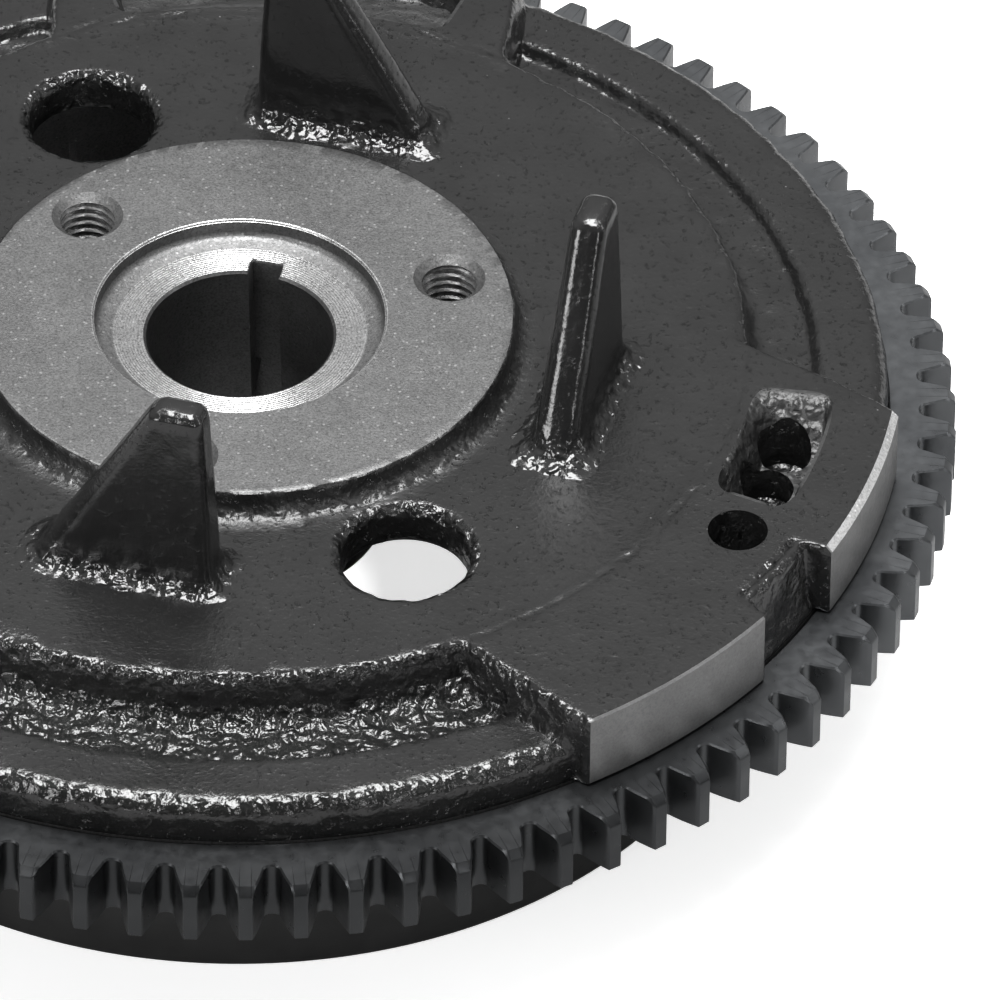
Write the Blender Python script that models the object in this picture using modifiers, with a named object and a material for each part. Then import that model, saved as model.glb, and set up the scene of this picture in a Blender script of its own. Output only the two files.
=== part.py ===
"""Flywheel of a small petrol engine with an electric starter.

The heart is one iron casting: a keyed, tapered hub, a web with two holes, a heavy
rim with three raised pads, and four upright horns that locate and drive the fan.
A starter ring gear is shrunk onto the rim.  A turned steel ring is bolted under the
rim and carries twelve ferrite magnets, held apart by a plastic cage.

Frame: metres, +Z up, the crankshaft axis is the Z axis, and z = 0 is the lower edge
of the magnet ring.  Angles run anticlockwise seen from above, from +X.
"""
import math

import bmesh
import bpy
from mathutils import Vector

MM = 0.001
GAP = 0.3                    # clearance that touching pieces keep, in millimetres
MERGE = 0.0001               # merge distance of the modifiers, in metres
SHARP = math.radians(35)     # edges that turn more than this stay crisp

# ---- heights above the lower edge, in millimetres ---------------------------------
HUB_BOTTOM = 20.6
SPIGOT_BOTTOM = 29.0
GEAR_BOTTOM = 32.5
CAVITY_KNEE = 40.0           # the wall below the web leans inwards above this
GEAR_TOP = 42.3
CHANNEL_FLOOR = 47.5
WEB_UNDERSIDE = 48.6
LEDGE = 49.3
WEB_TOP = 55.3
RECESS_FLOOR = 55.5
PAD_TOP = 55.5
HUB_FACE = 59.2
FIN_TOP = 87.8

# ---- radii, in millimetres ---------------------------------------------------------
BORE_TOP_RADIUS = 14.25
BORE_TAPER = 1 / 16          # radius gained for each millimetre of depth (a 1:8 taper)
HUB_BOTTOM_RADIUS = 22.4
BOSS_RADIUS = 25.0           # of the hub just under the web
RECESS_RADIUS = 22.5
HUB_RADIUS = 40.8
CAVITY_RADIUS = 70.0         # inside of the rim, below the web
SPIGOT_RADIUS = 76.7         # centres the magnet ring
CHANNEL_INNER = 77.4
CHANNEL_OUTER = 87.3
RIM_RADIUS = 98.6
PAD_RADIUS = 101.1

# ---- starter ring gear --------------------------------------------------------------
TEETH = 84
MODULE = 2.54                # ten diametral pitch
PRESSURE_ANGLE = math.radians(20)
PITCH_RADIUS = TEETH * MODULE / 2
TIP_RADIUS = PITCH_RADIUS + MODULE
ROOT_RADIUS = PITCH_RADIUS - 1.2 * MODULE
GEAR_CHAMFER = 1.0
GEAR_PHASE = -109.2          # direction of the middle of one tooth gap, in degrees

# ---- casting details ----------------------------------------------------------------
TAPPED_CIRCLE = 33.0
TAPPED_RADIUS = 4.3          # tapping size of an M10 thread
TAPPED_MOUTH_RADIUS = 5.5
TAPPED_ANGLES = (14.5, 134.5, 254.5)
WEB_HOLES = ((56.5, 113.7), (55.2, -63.8))     # radius and direction of each centre
WEB_HOLE_RADIUS = 9.8
WEB_HOLE_MOUTH = 10.6
KEYWAY_ANGLE = 75.0
KEYWAY_WIDTH = 4.8
KEYWAY_RADIUS = 16.9         # from the axis to the keyway's floor at the top
PAD_INNER = 75.2
PADS = (                     # ends of each pad: direction at the inner and outer arcs
    ("near", -66.4, -60.7, -0.6, -10.1),
    ("far", 56.0, 63.0, 113.6, 106.4),
    ("left", 176.0, 183.0, 233.6, 226.4),
)
NOTCH = (97.2, -39.8, -29.4)                   # inner radius and the two directions
POCKET = (79.6, 90.2, -26.2, -9.8, 47.6)       # two radii, two directions, floor
FAR_POCKET = (78.2, 90.5, 66.0, 103.5, 50.5)
BALANCE_HOLES = (            # radius of centre, direction, hole radius, floor height
    (87.0, -31.6, 4.5, 44.5),
    (85.0, -13.6, 4.1, 43.5),
    (84.3, -19.8, 4.1, 43.5),
)

# ---- the four horns -------------------------------------------------------------------
FIN_ANGLES = (-17.5, 72.5, 162.5, 252.5)
# each section: height, then the ends along the tangent, then the inner and outer faces
FIN_SECTIONS = (
    (WEB_TOP - 1.5, -16.2, 14.6, 47.8, 59.0, 2.6),
    (WEB_TOP + 0.2, -16.0, 14.4, 48.0, 58.8, 2.6),
    (WEB_TOP + 1.3, -14.5, 13.2, 49.2, 57.6, 2.2),
    (WEB_TOP + 3.2, -13.3, 12.6, 49.7, 57.1, 2.0),
    (FIN_TOP - 1.0, 3.0, 11.5, 50.7, 56.3, 1.8),
    (FIN_TOP, 3.9, 10.8, 51.5, 55.5, 1.2),
)

# ---- magnet ring, magnets, cage and screws ---------------------------------------------
SHELL_OUTER = 80.8
SHELL_INNER = 77.0
FLANGE_RADIUS = 93.0
FLANGE_THICKNESS = 3.2
FLANGE_TOP = GEAR_BOTTOM - GAP
SCREWS = 6
SCREW_CIRCLE = 87.3
SCREW_START = 5.0            # direction of the first screw, in degrees
SCREW_RADIUS = 2.9
SCREW_HEAD_RADIUS = 5.5      # across the corners of the hexagon
SCREW_HEAD_HEIGHT = 4.0
SCREW_TIP = 41.0
MAGNETS = 12
MAGNET_INNER = 69.4
MAGNET_OUTER = SHELL_INNER - GAP
MAGNET_BOTTOM = 3.6
MAGNET_TOP = 28.0
MAGNET_SPAN = 27.0           # degrees of arc that one magnet covers
CAGE_BOTTOM = 0.8
CAGE_RING_TOP = 3.2
CAGE_TOP = 26.0
CAGE_FINGER_SPAN = 1.9       # degrees of arc that one finger covers

STEPS = TEETH                # segments of the large turned pieces


# ---- scene and materials ------------------------------------------------------------------
def clear_scene():
    for thing in list(bpy.data.objects):
        bpy.data.objects.remove(thing, do_unlink=True)


def make_collection(name):
    collection = bpy.data.collections.new(name)
    bpy.context.scene.collection.children.link(collection)
    return collection


def make_material(name, colour, metallic, roughness):
    material = bpy.data.materials.new(name)
    material.use_nodes = True
    shader = material.node_tree.nodes["Principled BSDF"]
    shader.inputs["Base Color"].default_value = (*colour, 1)
    shader.inputs["Metallic"].default_value = metallic
    shader.inputs["Roughness"].default_value = roughness
    material.diffuse_color = (*colour, 1)
    return material


clear_scene()
PARTS = make_collection("flywheel")
CUTTERS = make_collection("flywheel_cutters")
PAINTED_IRON = make_material("black painted iron", (0.03, 0.03, 0.032), 0.2, 0.35)
GEAR_STEEL = make_material("gear steel", (0.12, 0.13, 0.14), 0.9, 0.38)
RING_STEEL = make_material("blackened ring steel", (0.035, 0.035, 0.037), 0.5, 0.45)
FERRITE = make_material("ferrite", (0.06, 0.058, 0.06), 0.1, 0.6)
CAGE_PLASTIC = make_material("cage plastic", (0.025, 0.025, 0.028), 0.0, 0.5)
ZINC = make_material("zinc plated steel", (0.55, 0.56, 0.55), 1.0, 0.35)


# ---- small tools ----------------------------------------------------------------------------
def polar(radius, degrees, height=0.0):
    """A point from a radius and a direction, all lengths in millimetres, as metres."""
    angle = math.radians(degrees)
    return Vector((radius * math.cos(angle), radius * math.sin(angle), height)) * MM


def arc(radius, start, end, count):
    """Points on an arc about the axis, with both of its ends."""
    return [polar(radius, start + (end - start) * i / (count - 1)) for i in range(count)]


def add_object(name, mesh, collection, material=None):
    thing = bpy.data.objects.new(name, mesh)
    collection.objects.link(thing)
    if material:
        mesh.materials.append(material)
    if collection is CUTTERS:
        thing.hide_render = True
        thing.display_type = "WIRE"
    return thing


def turned(name, profile, collection, material=None, steps=STEPS, closed=True):
    """A profile of (radius, height) points, swept once about the Z axis.

    The points run down the outer side, inwards below and back up the inner side.
    """
    mesh = bpy.data.meshes.new(name)
    points = [(radius * MM, 0, height * MM) for radius, height in profile]
    edges = [(i, i + 1) for i in range(len(points) - 1)]
    if closed:
        edges.append((len(points) - 1, 0))
    mesh.from_pydata(points, edges, [])
    thing = add_object(name, mesh, collection, material)
    screw = thing.modifiers.new("turn", "SCREW")
    screw.axis = "Z"
    screw.angle = math.tau
    screw.steps = steps
    screw.render_steps = steps
    screw.use_merge_vertices = True
    screw.merge_threshold = MERGE
    screw.use_smooth_shade = True
    return thing


def plate(name, outlines, bottom, top, collection, material=None):
    """Flat outlines, the first one outside and the others holes, raised to a thickness."""
    curve = bpy.data.curves.new(name, "CURVE")
    curve.dimensions = "2D"
    curve.fill_mode = "BOTH"
    curve.extrude = (top - bottom) * MM / 2
    for outline in outlines:
        spline = curve.splines.new("POLY")
        spline.points.add(len(outline) - 1)
        spline.use_cyclic_u = True
        for point, place in zip(spline.points, outline):
            point.co = (place[0], place[1], 0, 1)
    drawn = bpy.data.objects.new(name + "_outline", curve)
    CUTTERS.objects.link(drawn)
    bpy.context.view_layer.update()
    graph = bpy.context.evaluated_depsgraph_get()
    mesh = bpy.data.meshes.new_from_object(drawn.evaluated_get(graph))
    bpy.data.objects.remove(drawn, do_unlink=True)
    shape = bmesh.new()
    shape.from_mesh(mesh)
    bmesh.ops.remove_doubles(shape, verts=shape.verts, dist=1e-6)
    bmesh.ops.recalc_face_normals(shape, faces=shape.faces)
    bmesh.ops.translate(shape, verts=shape.verts, vec=(0, 0, (bottom + top) * MM / 2))
    shape.to_mesh(mesh)
    shape.free()
    mesh.name = name
    mesh.shade_smooth()
    mesh.set_sharp_from_angle(angle=SHARP)
    return add_object(name, mesh, collection, material)


def round_bar(name, place, sections, collection, material=None, steps=24):
    """An upright turned bar at a place: (radius, height) sections from top to bottom."""
    profile = [(0, sections[0][1]), *sections, (0, sections[-1][1])]
    bar = turned(name, profile, collection, material, steps, closed=False)
    bar.location = place
    return bar


def boolean(target, tool, operation):
    modifier = target.modifiers.new(tool.name, "BOOLEAN")
    modifier.operation = operation
    modifier.solver = "EXACT"
    modifier.object = tool


def sector(inner, outer, start, end, count=8):
    """Outline of a ring sector, anticlockwise."""
    return arc(outer, start, end, count) + arc(inner, end, start, count)


# ---- flywheel casting ---------------------------------------------------------------------
def bore_radius(height):
    """The bore is a taper that widens downwards."""
    return BORE_TOP_RADIUS + (RECESS_FLOOR - height) * BORE_TAPER


def casting_body():
    """Hub, web and rim as one turned profile."""
    outer_rim = [
        (CHANNEL_INNER - 1.4, WEB_TOP), (CHANNEL_INNER - 0.5, WEB_TOP - 0.8),
        (CHANNEL_INNER, CHANNEL_FLOOR + 3.0), (CHANNEL_INNER + 0.8, CHANNEL_FLOOR + 0.8),
        (CHANNEL_INNER + 2.8, CHANNEL_FLOOR), (CHANNEL_OUTER - 1.0, CHANNEL_FLOOR),
        (CHANNEL_OUTER, CHANNEL_FLOOR + 0.4), (CHANNEL_OUTER + 1.3, LEDGE),
        (RIM_RADIUS - 3.2, LEDGE), (RIM_RADIUS - 1.2, LEDGE - 0.7), (RIM_RADIUS, LEDGE - 2.8),
        (RIM_RADIUS, GEAR_BOTTOM + 0.6), (RIM_RADIUS - 0.6, GEAR_BOTTOM),
        (SPIGOT_RADIUS, GEAR_BOTTOM), (SPIGOT_RADIUS, SPIGOT_BOTTOM + 0.5),
        (SPIGOT_RADIUS - 0.5, SPIGOT_BOTTOM),
    ]
    underside = [
        (CAVITY_RADIUS + 1.6, SPIGOT_BOTTOM), (CAVITY_RADIUS + 0.8, CAVITY_KNEE),
        (CAVITY_RADIUS - 0.5, WEB_UNDERSIDE - 2.3), (CAVITY_RADIUS - 3.0, WEB_UNDERSIDE),
        (BOSS_RADIUS + 4.0, WEB_UNDERSIDE), (BOSS_RADIUS + 1.2, WEB_UNDERSIDE - 1.4),
        (BOSS_RADIUS, WEB_UNDERSIDE - 4.6),
        (HUB_BOTTOM_RADIUS + 0.2, HUB_BOTTOM + 1.0), (HUB_BOTTOM_RADIUS - 0.5, HUB_BOTTOM),
    ]
    bore = [
        (bore_radius(HUB_BOTTOM) + 0.7, HUB_BOTTOM),
        (bore_radius(HUB_BOTTOM), HUB_BOTTOM + 0.7),
        (bore_radius(RECESS_FLOOR - 0.4), RECESS_FLOOR - 0.4),
        (BORE_TOP_RADIUS + 0.4, RECESS_FLOOR),
    ]
    recess = [
        (RECESS_RADIUS - 3.7, RECESS_FLOOR + 0.2), (RECESS_RADIUS - 1.7, RECESS_FLOOR + 1.0),
        (RECESS_RADIUS - 0.6, HUB_FACE - 1.4), (RECESS_RADIUS - 0.5, HUB_FACE - 0.4),
        (RECESS_RADIUS, HUB_FACE),
    ]
    hub_edge = [
        (HUB_RADIUS - 0.3, HUB_FACE), (HUB_RADIUS, HUB_FACE - 0.4),
        (HUB_RADIUS + 0.2, HUB_FACE - 2.2), (HUB_RADIUS + 1.2, WEB_TOP + 0.5),
        (HUB_RADIUS + 3.0, WEB_TOP),
    ]
    profile = outer_rim + underside + bore + recess + hub_edge
    return turned("flywheel_casting", profile, PARTS, PAINTED_IRON)


def pad(name, inner_start, outer_start, inner_end, outer_end):
    """A raised pad of the rim, whose outer face overhangs the ring gear."""
    outline = arc(PAD_RADIUS, outer_start, outer_end, 13)
    outline += arc(PAD_INNER, inner_end, inner_start, 9)
    block = plate("pad_" + name, [outline], GEAR_TOP + GAP, PAD_TOP, CUTTERS)
    bevel = block.modifiers.new("soft edges", "BEVEL")
    bevel.width = 0.8 * MM
    bevel.segments = 1
    bevel.limit_method = "ANGLE"
    bevel.angle_limit = math.radians(40)
    return block


def rounded_section(height, start, end, inner, outer, corner, angle):
    """A rectangle with round corners: along the tangent and along the radius."""
    radial = polar(1, angle) / MM
    tangent = polar(1, angle + 90) / MM
    points = []
    corners = ((end, outer, 0), (start, outer, 90), (start, inner, 180), (end, inner, 270))
    for along, out, turn in corners:
        centre_along = along - math.copysign(corner, along - (start + end) / 2)
        centre_out = out - math.copysign(corner, out - (inner + outer) / 2)
        for step in (0, 45, 90):
            bend = math.radians(turn + step)
            spot = (centre_along + corner * math.cos(bend)) * tangent
            spot += (centre_out + corner * math.sin(bend)) * radial
            points.append(spot * MM + Vector((0, 0, height * MM)))
    return points


def fin(number, angle):
    """A horn: a plate along the tangent, steep at one end and sloping at the other."""
    shape = bmesh.new()
    rings = [
        [shape.verts.new(point) for point in rounded_section(*section, angle)]
        for section in FIN_SECTIONS
    ]
    for lower, upper in zip(rings, rings[1:]):
        for i in range(len(lower)):
            j = (i + 1) % len(lower)
            shape.faces.new((lower[i], lower[j], upper[j], upper[i]))
    shape.faces.new(list(reversed(rings[0])))
    shape.faces.new(rings[-1])
    bmesh.ops.recalc_face_normals(shape, faces=shape.faces)
    mesh = bpy.data.meshes.new(f"fin_{number}")
    shape.to_mesh(mesh)
    shape.free()
    return add_object(f"fin_{number}", mesh, CUTTERS)


def keyway():
    """A box that follows the taper and opens into the bore."""
    top = HUB_FACE + 1
    bottom = HUB_BOTTOM - 1
    shape = bmesh.new()
    bmesh.ops.create_cube(shape, size=1)
    for corner in shape.verts:
        height = top if corner.co.z > 0 else bottom
        floor = KEYWAY_RADIUS + (RECESS_FLOOR - height) * BORE_TAPER
        out = floor if corner.co.x > 0 else 1.0
        across = KEYWAY_WIDTH / 2 * math.copysign(1, corner.co.y)
        place = polar(out, KEYWAY_ANGLE, height) + polar(across, KEYWAY_ANGLE + 90)
        corner.co = place
    mesh = bpy.data.meshes.new("keyway")
    bmesh.ops.recalc_face_normals(shape, faces=shape.faces)
    shape.to_mesh(mesh)
    shape.free()
    return add_object("keyway", mesh, CUTTERS)


def drilled(name, radius, angle, sections, steps=24):
    return round_bar(name, polar(radius, angle), sections, CUTTERS, steps=steps)


def casting_cuts():
    """Everything that is drilled, cast or broached out of the casting."""
    cuts = [keyway()]
    above = PAD_TOP + 3
    below = WEB_UNDERSIDE - 2
    for number, (radius, angle) in enumerate(WEB_HOLES, 1):
        mouth = [(WEB_HOLE_MOUTH + 0.8, above), (WEB_HOLE_MOUTH + 0.8, WEB_TOP + 0.01),
                 (WEB_HOLE_MOUTH - 0.2, WEB_TOP - 0.9), (WEB_HOLE_RADIUS, WEB_TOP - 2.4),
                 (WEB_HOLE_RADIUS - 0.1, below)]
        cuts.append(drilled(f"web_hole_{number}", radius, angle, mouth, 36))
    for number, angle in enumerate(TAPPED_ANGLES, 1):
        chamfer = TAPPED_MOUTH_RADIUS - TAPPED_RADIUS
        sections = [(TAPPED_MOUTH_RADIUS + 1, HUB_FACE + 1), (TAPPED_RADIUS, HUB_FACE - chamfer),
                    (TAPPED_RADIUS, below)]
        cuts.append(drilled(f"tapped_hole_{number}", TAPPED_CIRCLE, angle, sections))
    for number, (radius, angle, size, floor) in enumerate(BALANCE_HOLES, 1):
        sections = [(size, above), (size, floor + size / 2)]
        bar = drilled(f"balance_hole_{number}", radius, angle, sections + [(0.3, floor)], 20)
        cuts.append(bar)
    for number in range(SCREWS):
        angle = SCREW_START + number * 360 / SCREWS
        sections = [(SCREW_RADIUS + GAP, SCREW_TIP + 1.2), (SCREW_RADIUS + GAP, GEAR_BOTTOM - 1)]
        cuts.append(drilled(f"rim_thread_{number + 1}", SCREW_CIRCLE, angle, sections, 12))
    inner, start, end = NOTCH
    cuts.append(plate("notch", [sector(inner, PAD_RADIUS + 3, start, end, 5)],
                      GEAR_TOP + GAP, above, CUTTERS))
    inner, outer, start, end, floor = POCKET
    cuts.append(plate("pocket", [sector(inner, outer, start, end, 6)], floor, above, CUTTERS))
    inner, outer, start, end, floor = FAR_POCKET
    cuts.append(plate("far_pocket", [sector(inner, outer, start, end, 9)], floor, above, CUTTERS))
    return cuts


def flywheel_casting():
    body = casting_body()
    for ends in PADS:
        boolean(body, pad(*ends), "UNION")
    for number, angle in enumerate(FIN_ANGLES, 1):
        boolean(body, fin(number, angle), "UNION")
    for cut in casting_cuts():
        boolean(body, cut, "DIFFERENCE")
    return body


# ---- starter ring gear ----------------------------------------------------------------------
def involute(angle):
    return math.tan(angle) - angle


def half_tooth(radius):
    """Half of the angle that a tooth covers at a radius, in degrees."""
    base = PITCH_RADIUS * math.cos(PRESSURE_ANGLE)
    at_radius = math.acos(base / radius)
    half = math.pi / (2 * TEETH) + involute(PRESSURE_ANGLE) - involute(at_radius)
    return math.degrees(half)


def gear_outline():
    """The toothed outline, with four points on each side of every tooth."""
    levels = (ROOT_RADIUS + 0.7, PITCH_RADIUS, TIP_RADIUS)
    floor = 180 / TEETH - 0.28
    points = []
    for tooth in range(TEETH):
        centre = GEAR_PHASE + (tooth + 0.5) * 360 / TEETH
        points.append(polar(ROOT_RADIUS, centre - floor))
        points += [polar(radius, centre - half_tooth(radius)) for radius in levels]
        points += [polar(radius, centre + half_tooth(radius)) for radius in reversed(levels)]
        points.append(polar(ROOT_RADIUS, centre + floor))
    return points


def starter_ring_gear():
    seat = RIM_RADIUS + GAP
    # the seat has as many sides as the turned rim, so the gap between them stays even
    bore = [polar(seat, 360 * i / STEPS) for i in reversed(range(STEPS))]
    gear = plate("starter_ring_gear", [gear_outline(), bore], GEAR_BOTTOM, GEAR_TOP,
                 PARTS, GEAR_STEEL)
    # only the upper ends of the teeth are chamfered, where the pinion enters
    shield = turned("tooth_chamfer", [
        (TIP_RADIUS + 4, GEAR_TOP + 2), (TIP_RADIUS + 4, GEAR_TOP - 5 * GEAR_CHAMFER),
        (TIP_RADIUS + 4 * GEAR_CHAMFER, GEAR_TOP - 5 * GEAR_CHAMFER),
        (TIP_RADIUS - 2 * GEAR_CHAMFER - 1, GEAR_TOP + 2)], CUTTERS)
    boolean(gear, shield, "DIFFERENCE")
    return gear


# ---- magnet ring, magnets, cage and screws -----------------------------------------------------
def magnet_ring():
    """A turned ring with an outward flange, bolted under the rim."""
    underside = FLANGE_TOP - FLANGE_THICKNESS
    ring = turned("magnet_ring", [
        (FLANGE_RADIUS - 0.5, FLANGE_TOP), (FLANGE_RADIUS, FLANGE_TOP - 0.5),
        (FLANGE_RADIUS, underside + 0.5), (FLANGE_RADIUS - 0.5, underside),
        (SHELL_OUTER + 0.3, underside), (SHELL_OUTER, 0.8), (SHELL_OUTER - 0.8, 0.0),
        (SHELL_INNER + 0.5, 0.0), (SHELL_INNER, 0.5), (SHELL_INNER, FLANGE_TOP)],
        PARTS, RING_STEEL)
    for number in range(SCREWS):
        angle = SCREW_START + number * 360 / SCREWS
        sections = [(SCREW_RADIUS + GAP, FLANGE_TOP + 1), (SCREW_RADIUS + GAP, underside - 1)]
        boolean(ring, drilled(f"flange_hole_{number + 1}", SCREW_CIRCLE, angle, sections, 12),
                "DIFFERENCE")
    return ring


def magnet(number):
    """One ferrite arc, drawn in towards the axis."""
    centre = (number - 0.5) * 360 / MAGNETS
    outline = sector(MAGNET_INNER, MAGNET_OUTER, centre - MAGNET_SPAN / 2,
                     centre + MAGNET_SPAN / 2, 7)
    return plate(f"magnet_{number:02d}", [outline], MAGNET_BOTTOM, MAGNET_TOP, PARTS, FERRITE)


def magnet_cage():
    """A ring under the magnets, with one finger up between each two of them."""
    cage = turned("magnet_cage", [
        (MAGNET_OUTER, CAGE_RING_TOP), (MAGNET_OUTER, CAGE_BOTTOM),
        (MAGNET_INNER, CAGE_BOTTOM), (MAGNET_INNER, CAGE_RING_TOP)],
        PARTS, CAGE_PLASTIC)
    for number in range(MAGNETS):
        centre = number * 360 / MAGNETS
        outline = sector(MAGNET_INNER + 0.4, MAGNET_OUTER - 0.4,
                         centre - CAGE_FINGER_SPAN / 2, centre + CAGE_FINGER_SPAN / 2, 2)
        finger = plate(f"finger_{number + 1}", [outline], CAGE_BOTTOM + 0.6, CAGE_TOP, CUTTERS)
        boolean(cage, finger, "UNION")
    return cage


def ring_screw(number):
    """A hexagon screw, put in from below."""
    angle = SCREW_START + (number - 1) * 360 / SCREWS
    seat = FLANGE_TOP - FLANGE_THICKNESS - GAP
    hexagon = [polar(SCREW_HEAD_RADIUS, 60 * i + 30) for i in range(6)]
    head = plate(f"ring_screw_{number}", [hexagon], seat - SCREW_HEAD_HEIGHT, seat,
                 PARTS, ZINC)
    head.location = polar(SCREW_CIRCLE, angle)
    head.rotation_euler.z = math.radians(angle)
    shank = round_bar(f"shank_{number}", polar(SCREW_CIRCLE, angle),
                      [(SCREW_RADIUS - 0.6, SCREW_TIP), (SCREW_RADIUS, SCREW_TIP - 0.6),
                       (SCREW_RADIUS, seat - SCREW_HEAD_HEIGHT / 2)], CUTTERS, steps=12)
    boolean(head, shank, "UNION")
    return head


# ---- the whole flywheel ----------------------------------------------------------------------
flywheel_casting()
starter_ring_gear()
magnet_ring()
magnet_cage()
for magnet_number in range(1, MAGNETS + 1):
    magnet(magnet_number)
for screw_number in range(1, SCREWS + 1):
    ring_screw(screw_number)
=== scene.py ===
# %% [markdown]
# # A small engine's flywheel
# The heart is one iron casting, painted gloss black: a machined hub, a web with two
# holes, a heavy rim with three raised pads, and four upright horns that hold the fan.
# A steel starter ring gear is shrunk onto the rim, and a turned magnet ring hangs
# below.  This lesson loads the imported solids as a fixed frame, then builds the
# visible skins as surfaces of two parameters, in the same place and the same size.

# %% Load the frame
import math

import bpy
import numpy as np
from mathutils import Matrix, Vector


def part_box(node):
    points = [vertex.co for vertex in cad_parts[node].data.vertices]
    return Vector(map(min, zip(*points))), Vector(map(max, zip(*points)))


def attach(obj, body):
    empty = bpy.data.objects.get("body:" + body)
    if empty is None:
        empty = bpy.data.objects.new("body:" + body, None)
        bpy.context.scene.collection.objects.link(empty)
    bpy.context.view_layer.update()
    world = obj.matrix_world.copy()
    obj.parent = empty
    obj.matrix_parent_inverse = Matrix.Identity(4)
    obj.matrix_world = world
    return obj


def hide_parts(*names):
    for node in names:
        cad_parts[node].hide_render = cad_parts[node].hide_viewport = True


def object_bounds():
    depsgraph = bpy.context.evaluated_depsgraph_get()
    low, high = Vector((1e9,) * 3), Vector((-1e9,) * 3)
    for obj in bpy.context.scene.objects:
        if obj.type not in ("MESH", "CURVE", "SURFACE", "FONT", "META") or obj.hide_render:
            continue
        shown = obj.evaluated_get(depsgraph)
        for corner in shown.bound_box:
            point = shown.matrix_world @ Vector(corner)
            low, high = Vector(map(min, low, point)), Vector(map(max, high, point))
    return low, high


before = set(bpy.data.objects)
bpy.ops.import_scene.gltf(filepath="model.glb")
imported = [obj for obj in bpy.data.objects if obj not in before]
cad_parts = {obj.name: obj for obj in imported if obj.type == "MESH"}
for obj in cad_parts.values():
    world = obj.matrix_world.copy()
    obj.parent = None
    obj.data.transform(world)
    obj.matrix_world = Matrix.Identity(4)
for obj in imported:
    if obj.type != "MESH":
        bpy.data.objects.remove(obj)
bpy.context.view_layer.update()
MM = 0.001


def extent(node):
    """Lowest and highest corner of a node, in millimetres."""
    low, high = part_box(node)
    return np.array(low) / MM, np.array(high) / MM


casting_low, casting_high = extent("flywheel_casting")
gear_low, gear_high = extent("starter_ring_gear")
RING_TOP = extent("magnet_ring")[1][2]
print("casting from z", casting_low[2].round(1), "to", casting_high[2].round(1), "mm")
print("ring gear", (gear_high[0] * 2).round(1), "mm across")

# %% [markdown]
# ## The camera
# A long lens far away keeps parallel edges nearly parallel, as in a catalogue
# picture.  The camera looks down at 41 degrees, and the flywheel runs out of the
# frame at the left and the top.

# %% Camera
CAMERA_PLACE = (0.0, -1.48466, 1.34992)
CAMERA_TURN = (48.18003, -0.42124, -1.15733)      # degrees about X, Y and Z
FIELD_OF_VIEW = 4.41508                           # degrees

lens = bpy.data.cameras.new("camera")
lens.angle = math.radians(FIELD_OF_VIEW)
lens.clip_end = 10
camera = bpy.data.objects.new("camera", lens)
camera.location = CAMERA_PLACE
camera.rotation_euler = [math.radians(turn) for turn in CAMERA_TURN]
bpy.context.scene.collection.objects.link(camera)
bpy.context.scene.camera = camera
print("camera", round(math.dist(CAMERA_PLACE, (0, 0, 0)), 3), "m away")

# %% [markdown]
# ## From arrays to meshes
# Every new piece is a stack of closed rings of points, each ring an array.  Two
# neighbouring rings of the same length are joined by four-sided faces.  A ring can
# also have half as many points as its neighbour: then each gap is closed by three
# triangles.  The helper below keeps all rings of a piece in one list of points.

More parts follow.
